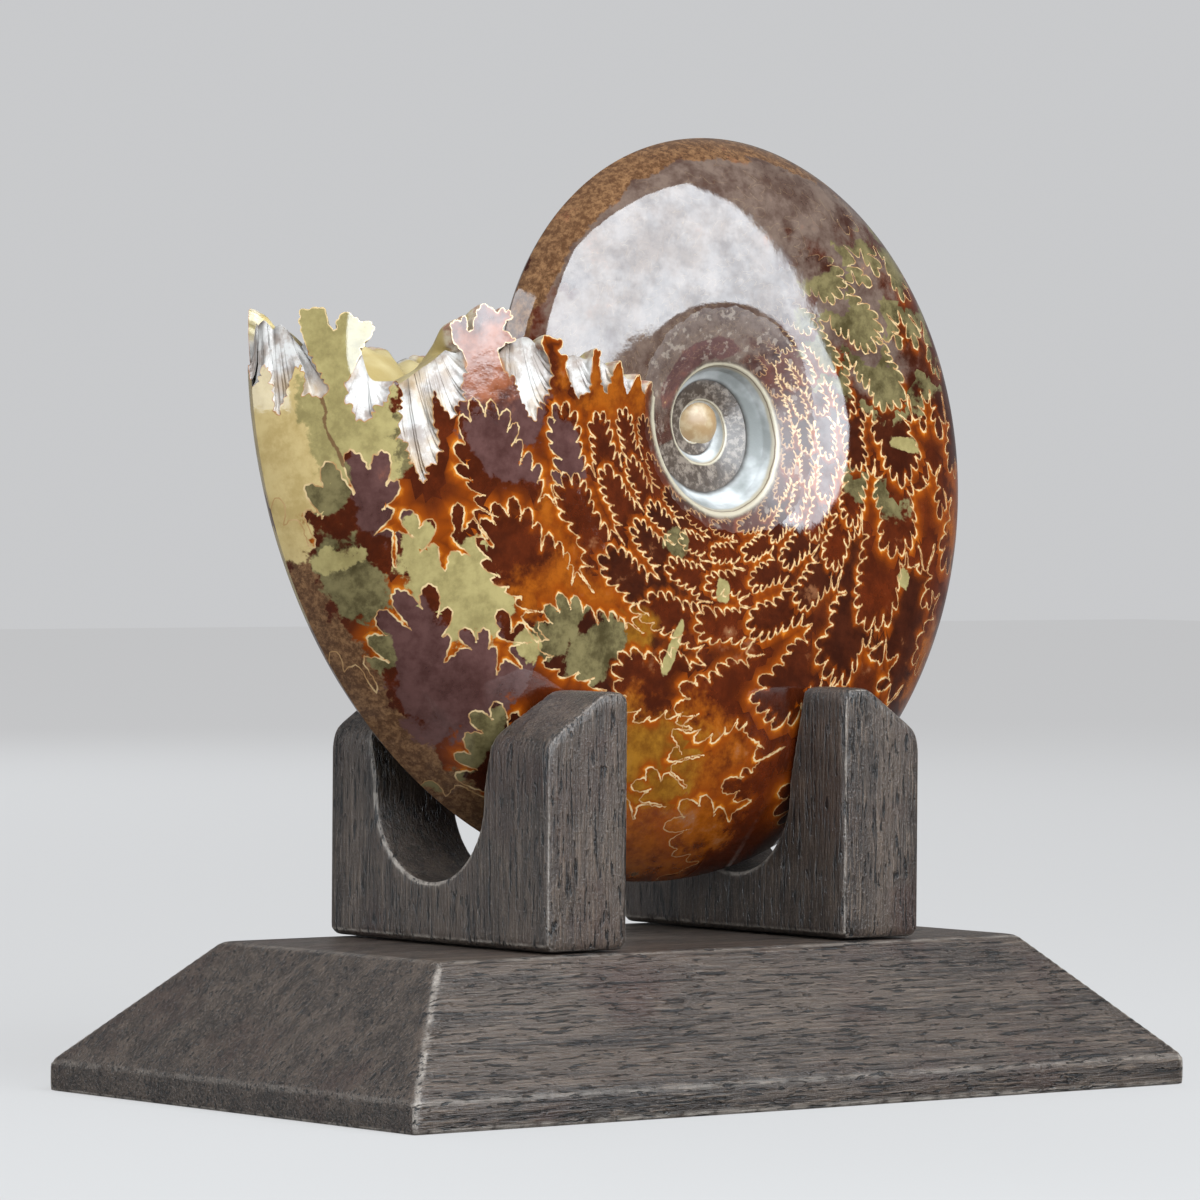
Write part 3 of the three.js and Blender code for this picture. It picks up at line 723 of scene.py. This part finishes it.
def kinds_at(ahead, above, chamber, leaf, side):
    """Soft weight of each kind of mineral: a half at the border of its areas."""
    weights = np.zeros((len(ahead), len(KINDS)))
    for kind, place, height, wide, tall, only in PATCHES:
        if side > 0:
            place = place - 0.11 - 0.05 * math.sin(9 * place)
            wide, tall = wide * 1.2, tall * 0.85
            only = only if only == "leaf" or place > -0.5 else None
        x = np.abs(ahead - place) / wide
        y = np.abs(above - height) / tall
        bump = np.clip(1.5 - (x**3 + y**3) ** (1 / 3), 0, 1)
        if only == "leaf":
            bump = bump * leaf
        elif only is not None:
            bump = bump * (chamber == only)
        column = KINDS.index(kind)
        weights[:, column] = np.maximum(weights[:, column], bump)
    return weights


TONE_SEED = 21
TONES = 64


def ease(value, low, high):
    x = np.clip((value - low) / (high - low), 0, 1)
    return x * x * (3 - 2 * x)


def glow_at(ahead, above, distance, young, tip, chamber_tone):
    """Orange light in the mineral: wide in front of each suture, narrow inside its leaflets."""
    gap = np.abs(distance)
    worn = 1 - 0.85 * ease(-ahead, 3.35, 4.3)
    wide = (0.05 + 0.26 * chamber_tone) * np.exp(-gap / 0.06)
    claws = (0.12 + 0.85 * tip) * np.exp(-gap / 0.014)
    leaves = (0.05 + 0.55 * tip) * np.exp(-gap / 0.011)
    low = np.maximum(ease(-ahead, 0.95, 1.25), 1 - ease(above, 1.05, 1.3))
    quiet = ease(ahead, -0.2, -0.12) * ease(above, 1.25, 1.4)
    return worn * np.where(young, wide + claws, 0.1 * wide + leaves * low) * (1 - quiet)


def flank_piece(side, step, line_step):
    flat, faces, nearest = unrolled_flank(side, step, line_step)
    ahead, conform = flat.T
    arc = arc_of(conform)
    places = flank_place(arc, ahead, side)
    if side > 0:
        faces = faces[:, ::-1]
    distance, index, tip = nearest.measure(flat)
    piece = new_object("shell_" + HAND[side], places, faces)
    mesh = piece.data
    size = share_at(arc) * spiral_radius(ahead)

    corners = np.zeros(len(mesh.loops), np.int32)
    mesh.loops.foreach_get("vertex_index", corners)
    tri = corners.reshape(-1, 3)
    middle = flat[tri].mean(1)
    middle_distance, middle_index, _ = nearest.measure(middle)
    face_chamber = np.repeat(middle_index - (middle_distance >= 0), 3)
    face_young = np.repeat(middle_distance >= 0, 3)
    at = tri.ravel()
    above = conform[at] - CONFORM_RIM
    tone = np.random.default_rng(TONE_SEED).random(TONES)[np.clip(face_chamber, 0, TONES - 1)]
    visible = (1 - 0.9 * ease(-ahead, 3.7, 4.4)) * ease(conform - CONFORM_RIM, -0.06, 0.04)
    corner_values(mesh, "line_mm", (np.abs(distance) * size)[at] * np.where(face_young, 1, -1))
    corner_values(mesh, "line_tip", tip[at])
    corner_values(mesh, "crack_mm", (crack_distance(flat, side) * size)[at])
    corner_values(mesh, "line_shown", visible[at])
    corner_values(mesh, "tone", tone)
    corner_values(mesh, "arc", arc[at])
    corner_values(mesh, "glow", glow_at(ahead[at], above, distance[at], face_young, tip[at], tone))
    polished_faces = middle[:, 1] > shoulder_height(middle[:, 0])
    mesh.polygons.foreach_set("material_index", np.where(polished_faces, 0, 1).astype(np.int32))
    weights = kinds_at(ahead[at], above, face_chamber, ~face_young, side)
    for i in range(0, len(KINDS), 3):
        corner_values(mesh, "kinds_" + str(i // 3), weights[:, i : i + 3])
    return piece


NEAR_STEP = 0.026
FAR_STEP = 0.032
FAR_COARSER = 1.3
near = flank_piece(-1, NEAR_STEP, LINE_STEP)
far = flank_piece(1, FAR_STEP, LINE_STEP * FAR_COARSER)


# Septum: the crest behind the broken edge, the fluted dish, and the core where both sides meet
SEPTUM_LEVEL_MM = -6
SEPTUM_SAG_MM = -4
CORE_RANGE = (0.36, 0.8)
FLUTE_DEPTH = 0.014
# Rows of the lip: share of the way inward and of the rise. Rows of the dish: share inward and smoothing.
LIP_ROWS = ((0.012, 0.02), (0.035, 0.10), (0.058, 0.35), (0.075, 0.68), (0.088, 1.0))
DISH_ROWS = (
    (0.105, 0), (0.14, 1.5), (0.19, 4), (0.26, 8), (0.35, 14), (0.46, 22), (0.58, 32), (0.7, 44), (0.85, 58),
)
FLUTE_SPACING = 17
FLUTE_SEED = 31
CREST_SINK = 0.004


def core_of(share):
    low, high = CORE_RANGE
    core = np.clip(share, low, high)
    sag = SEPTUM_LEVEL_MM + SEPTUM_SAG_MM * np.sin(math.pi * (core - low) / (high - low))
    return core, sag / (np.maximum(core, RIM_SHARE) * spiral_radius(0.0))


def septum_rows(side):
    wall, crest, hollow = broken_edge(side)
    rows = []

    def row(line, inward, sink=0.0):
        arc = arc_of(line[:, 1])
        share = share_at(arc)
        height = np.interp(arc, ARC, HEIGHT)
        core, rest = core_of(share)
        at = share + (core - share) * inward
        level = line[:, 0] + (rest - line[:, 0]) * inward**2 - sink
        return shell_point(at, side * height * (1 - inward), level)

    rows.append(row(wall, 0.0))
    soft = np.clip(blurred(hollow[:, None].astype(float), 2)[:, 0], 0, 1)[:, None]
    rng = np.random.default_rng(FLUTE_SEED + side)
    knots = np.arange(0, len(wall) + FLUTE_SPACING, FLUTE_SPACING)
    flutes = np.interp(np.arange(len(wall)), knots, rng.normal(0, 1, len(knots)))
    for inward, rise in LIP_ROWS:
        frond = crest.copy()
        frond[:, 0] -= CREST_SINK * rise
        slope = wall + (crest - wall) * rise
        fluting = FLUTE_DEPTH * flutes * soft[:, 0] * math.sin(math.pi * min(1, rise + 0.1))
        rows.append(row(slope * soft + frond * (1 - soft), inward + fluting))
    for inward, reach in DISH_ROWS:
        rows.append(row(blurred(crest, reach), inward, CREST_SINK))
    return rows, soft[:, 0]


def make_septum():
    """One mesh for both sides of the septum, joined along the core."""
    points, faces, white, tone, depth = [], [], [], [], []
    for side in (-1, 1):
        rows, soft = septum_rows(side)
        wall, crest, _ = broken_edge(side)
        share = share_at(arc_of(np.linspace(CONFORM_VENTER, 0, len(wall))))
        core, rest = core_of(share)
        rows.append(shell_point(core, 0.0, rest))
        start = len(points)
        width = len(wall)
        for r, line in enumerate(rows):
            points.extend(line)
            white.extend(soft)
            tone.extend(arc_of(crest[:, 1]))
            depth.extend([r / (len(rows) - 1)] * width)
        faces.extend(quads(start, len(rows), width, side > 0))
    piece = new_object("septum", points, faces)
    for name, values in (("white", white), ("arc", tone), ("depth", depth)):
        point_values(piece.data, name, values)
    return piece


septum = make_septum()


# Older whorls in the umbilicus, and the first chamber
INNER_SHARE_TOP = 0.37
INNER_TURNS = 3.1
NUCLEUS_RADII_MM = (4.4, 3.8, 4.9)
NUCLEUS_SHIFT_MM = 1.6
NUCLEUS_LIFT_MM = 0.6
NUCLEUS_RINGS = 28
NUCLEUS_SECTORS = 44
WHORL_POINTS_ACROSS = 34
WHORL_POINTS_ALONG = 420


def make_inner_whorls():
    points, faces, arcs = [], [], []
    arc_top = float(np.interp(INNER_SHARE_TOP, SHARE, ARC))
    across = np.linspace(ARC_SEAM, arc_top, WHORL_POINTS_ACROSS)
    along = np.linspace(-2 * math.pi + 0.1, -2 * math.pi * INNER_TURNS, WHORL_POINTS_ALONG)
    for side in (-1, 1):
        start = len(points)
        for ahead in along:
            points.extend(flank_place(across, ahead, side))
            arcs.extend(across)
        faces.extend(quads(start, len(along), len(across), side < 0))
    piece = new_object("inner_whorls", points, faces)
    point_values(piece.data, "arc", arcs)
    return piece


def make_nucleus():
    points, faces = [], []
    rings, sectors = NUCLEUS_RINGS, NUCLEUS_SECTORS
    for i in range(rings + 1):
        tilt = math.pi * i / rings
        for j in range(sectors):
            turn = 2 * math.pi * j / sectors
            unit = math.sin(tilt) * math.cos(turn), math.cos(tilt), math.sin(tilt) * math.sin(turn)
            points.append([part * radius for part, radius in zip(unit, NUCLEUS_RADII_MM)])
    for i in range(rings):
        for j in range(sectors):
            a, b = i * sectors + j, i * sectors + (j + 1) % sectors
            faces.append((a, b, b + sectors, a + sectors))
    x, y, z = np.array(points).T
    places = placed(x + NUCLEUS_SHIFT_MM, y, z + NUCLEUS_LIFT_MM + UMBILICUS_LIFT_MM)
    return new_object("nucleus", places, faces)


inner_whorls = make_inner_whorls()
nucleus = make_nucleus()


# Wood: voxel size and rounds of smoothing for the board and for the two blocks
BOARD_REMESH = (0.0009, 5)
BLOCK_REMESH = (0.0005, 6)


def remade(name, node, cell, rounds):
    """A wooden part made again from its solid with rounded edges, and how far each point's surface turns off
    the solid's face, used for edge wear and a painted edge highlight.
    """
    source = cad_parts[node]
    piece = bpy.data.objects.new(name, source.data.copy())
    piece.data.materials.clear()
    bpy.context.scene.collection.objects.link(piece)
    remesh = piece.modifiers.new("remesh", "REMESH")
    remesh.mode = "VOXEL"
    remesh.voxel_size = cell
    smooth = piece.modifiers.new("smooth", "SMOOTH")
    smooth.factor = 0.5
    smooth.iterations = rounds
    bpy.context.view_layer.update()
    made = bpy.data.meshes.new_from_object(piece.evaluated_get(bpy.context.evaluated_depsgraph_get()))
    piece.modifiers.clear()
    piece.data = made
    made.name = name
    made.shade_smooth()
    corners = [vertex.co for vertex in source.data.vertices]
    solid = BVHTree.FromPolygons(corners, [polygon.vertices for polygon in source.data.polygons])
    edge_wear_and_highlight = []
    for vertex in made.vertices:
        _, normal, _, _ = solid.find_nearest(vertex.co)
        edge_wear_and_highlight.append(1 - max(0.0, vertex.normal.dot(normal)))
    point_values(made, "edge_wear_and_highlight", edge_wear_and_highlight)
    return piece


stand_base = remade("stand_base", "base", *BOARD_REMESH)
stand_left = remade("stand_left", "bracket_left", *BLOCK_REMESH)
stand_right = remade("stand_right", "bracket_right", *BLOCK_REMESH)

PIECES = {
    "ammonite": (near, far, septum, inner_whorls, nucleus),
    "base": (stand_base,),
    "bracket_left": (stand_left,),
    "bracket_right": (stand_right,),
}
for node, pieces in PIECES.items():
    for piece in pieces:
        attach(piece, "root")
        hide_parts(node)


# Materials
class Shader:
    """Small helper to build a node material."""

    def __init__(self, name):
        self.material = bpy.data.materials.new(name)
        self.material.use_nodes = True
        self.tree = self.material.node_tree
        self.surface = self.tree.nodes["Principled BSDF"]
        self.spot = 0

    def node(self, kind, **settings):
        made = self.tree.nodes.new(kind)
        self.spot += 1
        made.location = (-220 * (1 + self.spot // 6), 200 * (self.spot % 6))
        for key, value in settings.items():
            setattr(made, key, value)
        return made

    def link(self, source, target):
        self.tree.links.new(source, target)

    def put(self, socket, value):
        if isinstance(value, bpy.types.NodeSocket):
            self.link(value, socket)
        elif isinstance(value, (tuple, list)) and len(value) == 3 and socket.type == "RGBA":
            socket.default_value = (*value, 1)
        else:
            socket.default_value = value

    def attribute(self, name, colour=False):
        made = self.node("ShaderNodeAttribute", attribute_name=name)
        return made.outputs["Color" if colour else "Fac"]

    def fixed(self, **values):
        """Constant values of the surface, by socket name with _ for a space."""
        for name, value in values.items():
            self.put(self.surface.inputs[name.replace("_", " ")], value)

    def math(self, operation, a, b=0.0):
        made = self.node("ShaderNodeMath", operation=operation)
        self.put(made.inputs[0], a)
        self.put(made.inputs[1], b)
        return made.outputs[0]

    def plus(self, a, b):
        return self.math("ADD", a, b)

    def minus(self, a, b):
        return self.math("SUBTRACT", a, b)

    def times(self, a, b):
        return self.math("MULTIPLY", a, b)

    def ramp(self, value, low, high, to_low=0.0, to_high=1.0):
        made = self.node("ShaderNodeMapRange", interpolation_type="SMOOTHSTEP")
        for socket, item in zip(made.inputs[:5], (value, low, high, to_low, to_high)):
            self.put(socket, item)
        return made.outputs[0]

    def mix(self, share, a, b, blend="MIX"):
        made = self.node("ShaderNodeMix", data_type="RGBA", blend_type=blend)
        self.put(made.inputs["Factor"], share)
        self.put(made.inputs[6], a)
        self.put(made.inputs[7], b)
        return made.outputs[2]

    def noise(self, scale, detail=3.0, rough=0.5, distortion=0.0, stretch=(1, 1, 1)):
        coordinates = self.node("ShaderNodeTexCoord")
        mapping = self.node("ShaderNodeMapping")
        self.link(coordinates.outputs["Object"], mapping.inputs["Vector"])
        mapping.inputs["Scale"].default_value = stretch
        made = self.node("ShaderNodeTexNoise")
        self.link(mapping.outputs[0], made.inputs["Vector"])
        made.inputs["Scale"].default_value = scale
        made.inputs["Detail"].default_value = detail
        made.inputs["Roughness"].default_value = rough
        made.inputs["Distortion"].default_value = distortion
        return made.outputs[0]

    def bump(self, height, strength, distance):
        made = self.node("ShaderNodeBump")
        made.inputs["Strength"].default_value = strength
        made.inputs["Distance"].default_value = distance
        self.link(height, made.inputs["Height"])
        self.link(made.outputs[0], self.surface.inputs["Normal"])
        return made


# Light and dark tone of each kind of mineral, in the order in which the areas lie over one another
KIND_COLOURS = {
    "amber": ((0.204, 0.051, 0.0036), (0.096, 0.018, 0.0018)),
    "gold": ((0.18, 0.075, 0.0072), (0.09, 0.03, 0.003)),
    "mauve": ((0.10, 0.068, 0.052), (0.046, 0.026, 0.019)),
    "brown": ((0.15, 0.076, 0.034), (0.055, 0.024, 0.0105)),
    "purple": ((0.069, 0.0312, 0.027), (0.0372, 0.0144, 0.012)),
    "pink": ((0.20, 0.068, 0.034), (0.12, 0.032, 0.011)),
    "olive": ((0.12, 0.096, 0.042), (0.036, 0.027, 0.0105)),
    "straw": ((0.235, 0.19, 0.078), (0.15, 0.118, 0.046)),
    "cream": ((0.348, 0.258, 0.114), (0.264, 0.186, 0.072)),
}
SOFT_KINDS = ("amber", "gold", "mauve", "pink")
SOFT_BORDER = 0.3
CRISP_BORDER = 0.07


def wall_colour(s, arc, worn):
    """Umbilical bands: painted shade in the seam, pearly wall, pale rim with a fine brown line, speckled
    shoulder; painted shade beyond.
    """
    place = s.plus(arc, s.times(s.minus(worn, 0.5), 0.022))
    pearl = s.mix(s.ramp(s.noise(110, 4), 0.38, 0.64), (0.19, 0.195, 0.185), (0.5, 0.5, 0.49))
    speckle = s.mix(s.ramp(s.noise(650, 4, 0.75), 0.46, 0.62), (0.04, 0.027, 0.019), (0.135, 0.106, 0.083))
    fine_line = s.ramp(s.math("ABSOLUTE", s.plus(place, 0.006)), 0.001, 0.0035, 0.75, 0)
    # Painted shade: the deep corner at the seam is coloured near black.
    colour = s.mix(s.ramp(place, -0.108, -0.085), (0.018, 0.0096, 0.0048), pearl)
    colour = s.mix(s.ramp(place, -0.026, -0.012), colour, (0.3, 0.258, 0.186))
    colour = s.mix(fine_line, colour, (0.078, 0.036, 0.015))
    colour = s.mix(s.ramp(place, 0.004, 0.018), colour, speckle)
    # Painted shade: farther out, where a whorl runs in under the next one, the colour is dark.
    return s.mix(s.ramp(place, 0.13, 0.24), colour, (0.026, 0.016, 0.010))


def mineral_colour(s, ragged, mottle, glow):
    """The dark ground of the chambers and the coloured areas over it."""
    broad = s.minus(s.noise(75, 5, 0.68), 0.5)
    shift = s.plus(s.times(s.minus(ragged, 0.5), 1.5), s.times(broad, 1.3))
    deep = s.mix(s.attribute("tone"), (0.016, 0.0034, 0.0014), (0.036, 0.0056, 0.0012))
    body = s.mix(mottle, deep, s.mix(1.0, deep, (1.9, 1.9, 1.7), "MULTIPLY"))
    gold_specks = s.ramp(s.noise(800, 5, 0.8), 0.40, 0.66)
    weights = {}
    for i in range(0, len(KINDS), 3):
        parts = s.node("ShaderNodeSeparateColor")
        s.link(s.attribute("kinds_" + str(i // 3), colour=True), parts.inputs[0])
        for j in range(3):
            weights[KINDS[i + j]] = parts.outputs[j]
    for kind, (light, dark) in KIND_COLOURS.items():
        soft = SOFT_BORDER if kind in SOFT_KINDS else CRISP_BORDER
        share = s.ramp(s.plus(weights[kind], shift), 0.5 - soft, 0.5 + soft)
        body = s.mix(share, body, s.mix(gold_specks if kind == "brown" else mottle, dark, light))
        if kind == "gold":
            body = s.mix(s.ramp(glow, 0.04, 0.5), body, (0.15, 0.0276, 0.0015))
            body = s.mix(s.ramp(glow, 0.42, 0.95), body, (0.33, 0.096, 0.0072))
    return body


def with_lines(s, body, fine):
    """The suture lines and the crack drawn over the mineral."""
    tip = s.attribute("line_tip")
    shown = s.attribute("line_shown")
    thick = s.times(s.plus(s.times(tip, 0.055), 0.05), shown)
    ripple = s.times(s.minus(s.noise(950, 2, 0.5), 0.5), 0.42)
    away = s.math("ABSOLUTE", s.plus(s.attribute("line_mm"), ripple))
    edge = s.math("DIVIDE", away, s.plus(thick, 0.02))
    pale = s.times(s.ramp(edge, 0.8, 1.7, 1.0, 0.0), s.ramp(shown, 0.05, 0.6, 0.12, 0.92))
    colour = s.mix(pale, body, s.mix(s.ramp(tip, 0.1, 0.8), (0.25, 0.135, 0.055), (0.42, 0.30, 0.155)))
    broken = s.plus(s.attribute("crack_mm"), s.times(s.minus(fine, 0.5), 0.9))
    return s.mix(s.ramp(broken, 0.22, 0.40, 0.85, 0), colour, (0.085, 0.040, 0.018))


def fossil_material(name, polish):
    s = Shader(name)
    arc = s.attribute("arc")
    cloud = s.noise(150, 6, 0.62)
    fine = s.noise(520, 5, 0.7)
    ragged = s.plus(s.times(cloud, 0.6), s.times(fine, 0.4))
    body = mineral_colour(s, ragged, s.ramp(ragged, 0.38, 0.62), s.attribute("glow"))
    colour = s.mix(s.ramp(arc, 0.005, 0.03), wall_colour(s, arc, cloud), with_lines(s, body, fine))
    if polish:
        s.fixed(Roughness=0.16, IOR=1.42, Specular_IOR_Level=0.0)
        s.fixed(Coat_Weight=1.0, Coat_Roughness=0.03, Coat_IOR=1.68)
        uneven = s.bump(s.plus(s.times(fine, 0.12), s.noise(70, 3, 0.5)), 0.12, 0.0006)
        s.link(uneven.outputs[0], s.surface.inputs["Coat Normal"])
        s.put(s.surface.inputs["Coat Weight"], s.ramp(s.noise(95, 6, 0.7), 0.36, 0.6, 0.66, 1.0))
    else:
        outside = s.times(s.ramp(s.noise(620, 3, 0.6), 0.56, 0.64, 0, 0.5), s.ramp(arc, 0.01, 0.05))
        colour = s.mix(outside, colour, (0.216, 0.174, 0.138))
        s.bump(fine, 0.3, 0.0003)
        s.fixed(Roughness=0.38, Coat_Weight=0.25, Coat_Roughness=0.12)
    s.put(s.surface.inputs["Base Color"], colour)
    return s.material


def septum_material():
    s = Shader("septum_porcelain")
    white = s.attribute("white")
    depth = s.attribute("depth")
    arc = s.attribute("arc")
    cloud = s.noise(230, 5, 0.65)
    frond = s.mix(s.ramp(arc, 0.58, 0.68), (0.216, 0.0936, 0.0612), (0.2592, 0.2088, 0.0936))
    frond = s.mix(s.ramp(cloud, 0.42, 0.62), frond, (0.396, 0.3312, 0.2376))
    dish = s.mix(s.ramp(s.noise(140, 4), 0.4, 0.65), (0.3024, 0.2232, 0.0864), (0.396, 0.3168, 0.1584))
    porcelain = s.mix(s.ramp(cloud, 0.40, 0.60), (0.19, 0.15, 0.125), (0.36, 0.335, 0.31))
    porcelain = s.mix(s.ramp(s.noise(90, 3), 0.50, 0.66, 0, 0.7), porcelain, (0.3024, 0.1944, 0.0864))
    colour = s.mix(s.ramp(white, 0.2, 0.6), frond, porcelain)
    colour = s.mix(s.ramp(depth, 0.0, 0.05, 0.9, 0.0), colour, (0.2448, 0.0864, 0.0216))
    colour = s.mix(s.ramp(depth, 0.36, 0.48), colour, dish)
    s.put(s.surface.inputs["Base Color"], colour)
    s.fixed(Roughness=0.36)
    s.bump(cloud, 0.4, 0.0003)
    return s.material


def umbilicus_material():
    s = Shader("umbilicus_pearl")
    s.put(s.surface.inputs["Base Color"], wall_colour(s, s.attribute("arc"), s.noise(260, 5, 0.6)))
    s.fixed(Roughness=0.34, Coat_Weight=0.2, Coat_Roughness=0.12)
    s.bump(s.noise(420, 4, 0.65), 0.5, 0.0003)
    return s.material


def nucleus_material():
    s = Shader("first_chamber")
    tone = s.mix(s.ramp(s.noise(500, 4), 0.4, 0.65), (0.225, 0.14, 0.066), (0.295, 0.22, 0.128))
    s.put(s.surface.inputs["Base Color"], tone)
    s.fixed(Roughness=0.35)
    return s.material


def wood_material(name, grain):
    """Black stained open-pored wood, paler and browner on its edges, partly from wear and partly as a
    painted highlight.
    """
    s = Shader(name)

    def stretched(across, lengthwise, detail, distortion=0.0):
        scale = [across] * 3
        scale[grain] = lengthwise
        return s.noise(1, detail, 0.65, distortion, tuple(scale))

    fibre = stretched(2300, 150, 4)
    bands = stretched(260, 16, 4, 0.4)
    pores = s.ramp(stretched(1350, 120, 3), 0.58, 0.63)
    ticks = s.ramp(stretched(1300, 260, 2), 0.62, 0.67)
    cuts = s.math("MAXIMUM", pores, ticks)
    grit = s.noise(2100, 2, 0.6)
    stain = s.ramp(s.noise(48, 4, 0.6), 0.5, 0.72, 0, 0.55)
    worn = s.times(s.ramp(s.attribute("edge_wear_and_highlight"), 0.008, 0.09), s.ramp(s.noise(300, 4, 0.65), 0.3, 0.6))
    colour = s.mix(s.ramp(bands, 0.36, 0.66), (0.018, 0.0125, 0.0096), (0.052, 0.0365, 0.027))
    colour = s.mix(s.ramp(fibre, 0.5, 0.7, 0, 0.7), colour, (0.118, 0.086, 0.064))
    colour = s.mix(s.ramp(grit, 0.55, 0.72, 0, 0.5), colour, (0.115, 0.086, 0.07))
    colour = s.mix(stain, colour, (0.034, 0.0165, 0.0125))
    # Paler edges: partly wear, partly a painted highlight along the rounded edges.
    colour = s.mix(s.times(worn, 0.9), colour, (0.225, 0.190, 0.160))
    colour = s.mix(s.times(cuts, 0.9), colour, (0.0018, 0.0015, 0.0015))
    s.put(s.surface.inputs["Base Color"], colour)
    s.put(s.surface.inputs["Roughness"], s.ramp(fibre, 0.3, 0.7, 0.46, 0.28))
    raised = s.plus(s.plus(fibre, s.times(bands, 0.6)), s.times(grit, 0.3))
    s.bump(s.minus(raised, s.times(cuts, 0.8)), 0.7, 0.0005)
    return s.material


fossil = fossil_material("polished_fossil", True)
shoulder = fossil_material("fossil_shoulder", False)
for piece, material in (
    (near, fossil),
    (far, fossil),
    (septum, septum_material()),
    (inner_whorls, umbilicus_material()),
    (nucleus, nucleus_material()),
    (stand_base, wood_material("stained_wood_along", 0)),
    (stand_left, wood_material("stained_wood_upright", 2)),
    (stand_right, bpy.data.materials["stained_wood_upright"]),
):
    piece.data.materials.append(material)
near.data.materials.append(shoulder)
far.data.materials.append(shoulder)


# Floor and light. The ramp: Y from, Y to, strength from, strength to.
FLOOR_HALF = 3.0
FLOOR_COLOUR = (0.1, 0.098, 0.095)
FLOOR_PALE = (0.98, 0.985, 1.0)
FLOOR_LIT = 0.1
FLOOR_SEEN = 0.44
WORLD_COLOUR = (0.97, 0.98, 1.0, 1)
WORLD_RAMP = (-0.4, 0.7, 0.06, 0.26)
WORLD_SEEN = 0.6
LIGHT_COLOUR = (0.85, 0.93, 1.0)


def make_stage():
    corners = [(x * FLOOR_HALF, y * FLOOR_HALF, 0) for x, y in ((-1, -1), (1, -1), (1, 1), (-1, 1))]
    floor = new_object("floor", corners, [(0, 1, 2, 3)])
    s = Shader("pale_floor")
    s.fixed(Base_Color=FLOOR_COLOUR, Emission_Color=FLOOR_PALE, Roughness=0.7, Specular_IOR_Level=0.0)
    seen = s.node("ShaderNodeLightPath").outputs["Is Camera Ray"]
    s.link(s.plus(s.times(seen, FLOOR_SEEN), FLOOR_LIT), s.surface.inputs["Emission Strength"])
    floor.data.materials.append(s.material)
    floor.visible_glossy = False


def area_light(name, place, target, size, power, in_polish=False):
    """A light that is never seen itself, and mirrored in the polish only where it says so."""
    data = bpy.data.lights.new(name, "AREA")
    data.color = LIGHT_COLOUR
    data.shape = "RECTANGLE"
    data.size, data.size_y = size
    data.energy = power
    light = bpy.data.objects.new(name, data)
    away = (Vector(place) - Vector(target)).normalized()
    light.matrix_world = Matrix.Translation(place) @ away.to_track_quat("Z", "Y").to_matrix().to_4x4()
    light.visible_camera = False
    light.visible_glossy = in_polish
    bpy.context.scene.collection.objects.link(light)


def make_world():
    """Pale from every side. As a light it is dim, and least in front, so the polish keeps its depth."""
    world = bpy.data.worlds.new("studio")
    world.use_nodes = True
    tree = world.node_tree
    coordinates = tree.nodes.new("ShaderNodeTexCoord")
    parts = tree.nodes.new("ShaderNodeSeparateXYZ")
    tree.links.new(coordinates.outputs["Generated"], parts.inputs[0])
    ramp = tree.nodes.new("ShaderNodeMapRange")
    for name, value in zip(("From Min", "From Max", "To Min", "To Max"), WORLD_RAMP):
        ramp.inputs[name].default_value = value
    tree.links.new(parts.outputs["Y"], ramp.inputs["Value"])
    seen = tree.nodes.new("ShaderNodeLightPath")
    strength = tree.nodes.new("ShaderNodeMix")
    tree.links.new(seen.outputs["Is Camera Ray"], strength.inputs["Factor"])
    tree.links.new(ramp.outputs[0], strength.inputs[2])
    strength.inputs[3].default_value = WORLD_SEEN
    background = tree.nodes["Background"]
    background.inputs["Color"].default_value = WORLD_COLOUR
    tree.links.new(strength.outputs[0], background.inputs["Strength"])
    bpy.context.scene.world = world


def turned(distance, azimuth, height):
    """A place around the stand: azimuth from straight in front, positive to the right."""
    angle = math.radians(azimuth)
    return (distance * math.sin(angle), -distance * math.cos(angle), height)


make_stage()
make_world()
area_light("softbox", turned(0.62, -5, 0.675), turned(0.02, -5, 0.675), (1.0, 1.08), 34, in_polish=True)
area_light("side_softbox", turned(0.9, -95, 0.40), (0, 0, 0.1), (0.6, 0.8), 8, in_polish=True)
area_light("fill", turned(1.1, 60, 0.6), (0, 0, 0.08), (0.7, 0.7), 2)
area_light("back_fill", turned(1.2, 165, 0.75), (0, 0, 0.08), (1.0, 1.0), 14)
bpy.context.scene.view_settings.view_transform = "Standard"
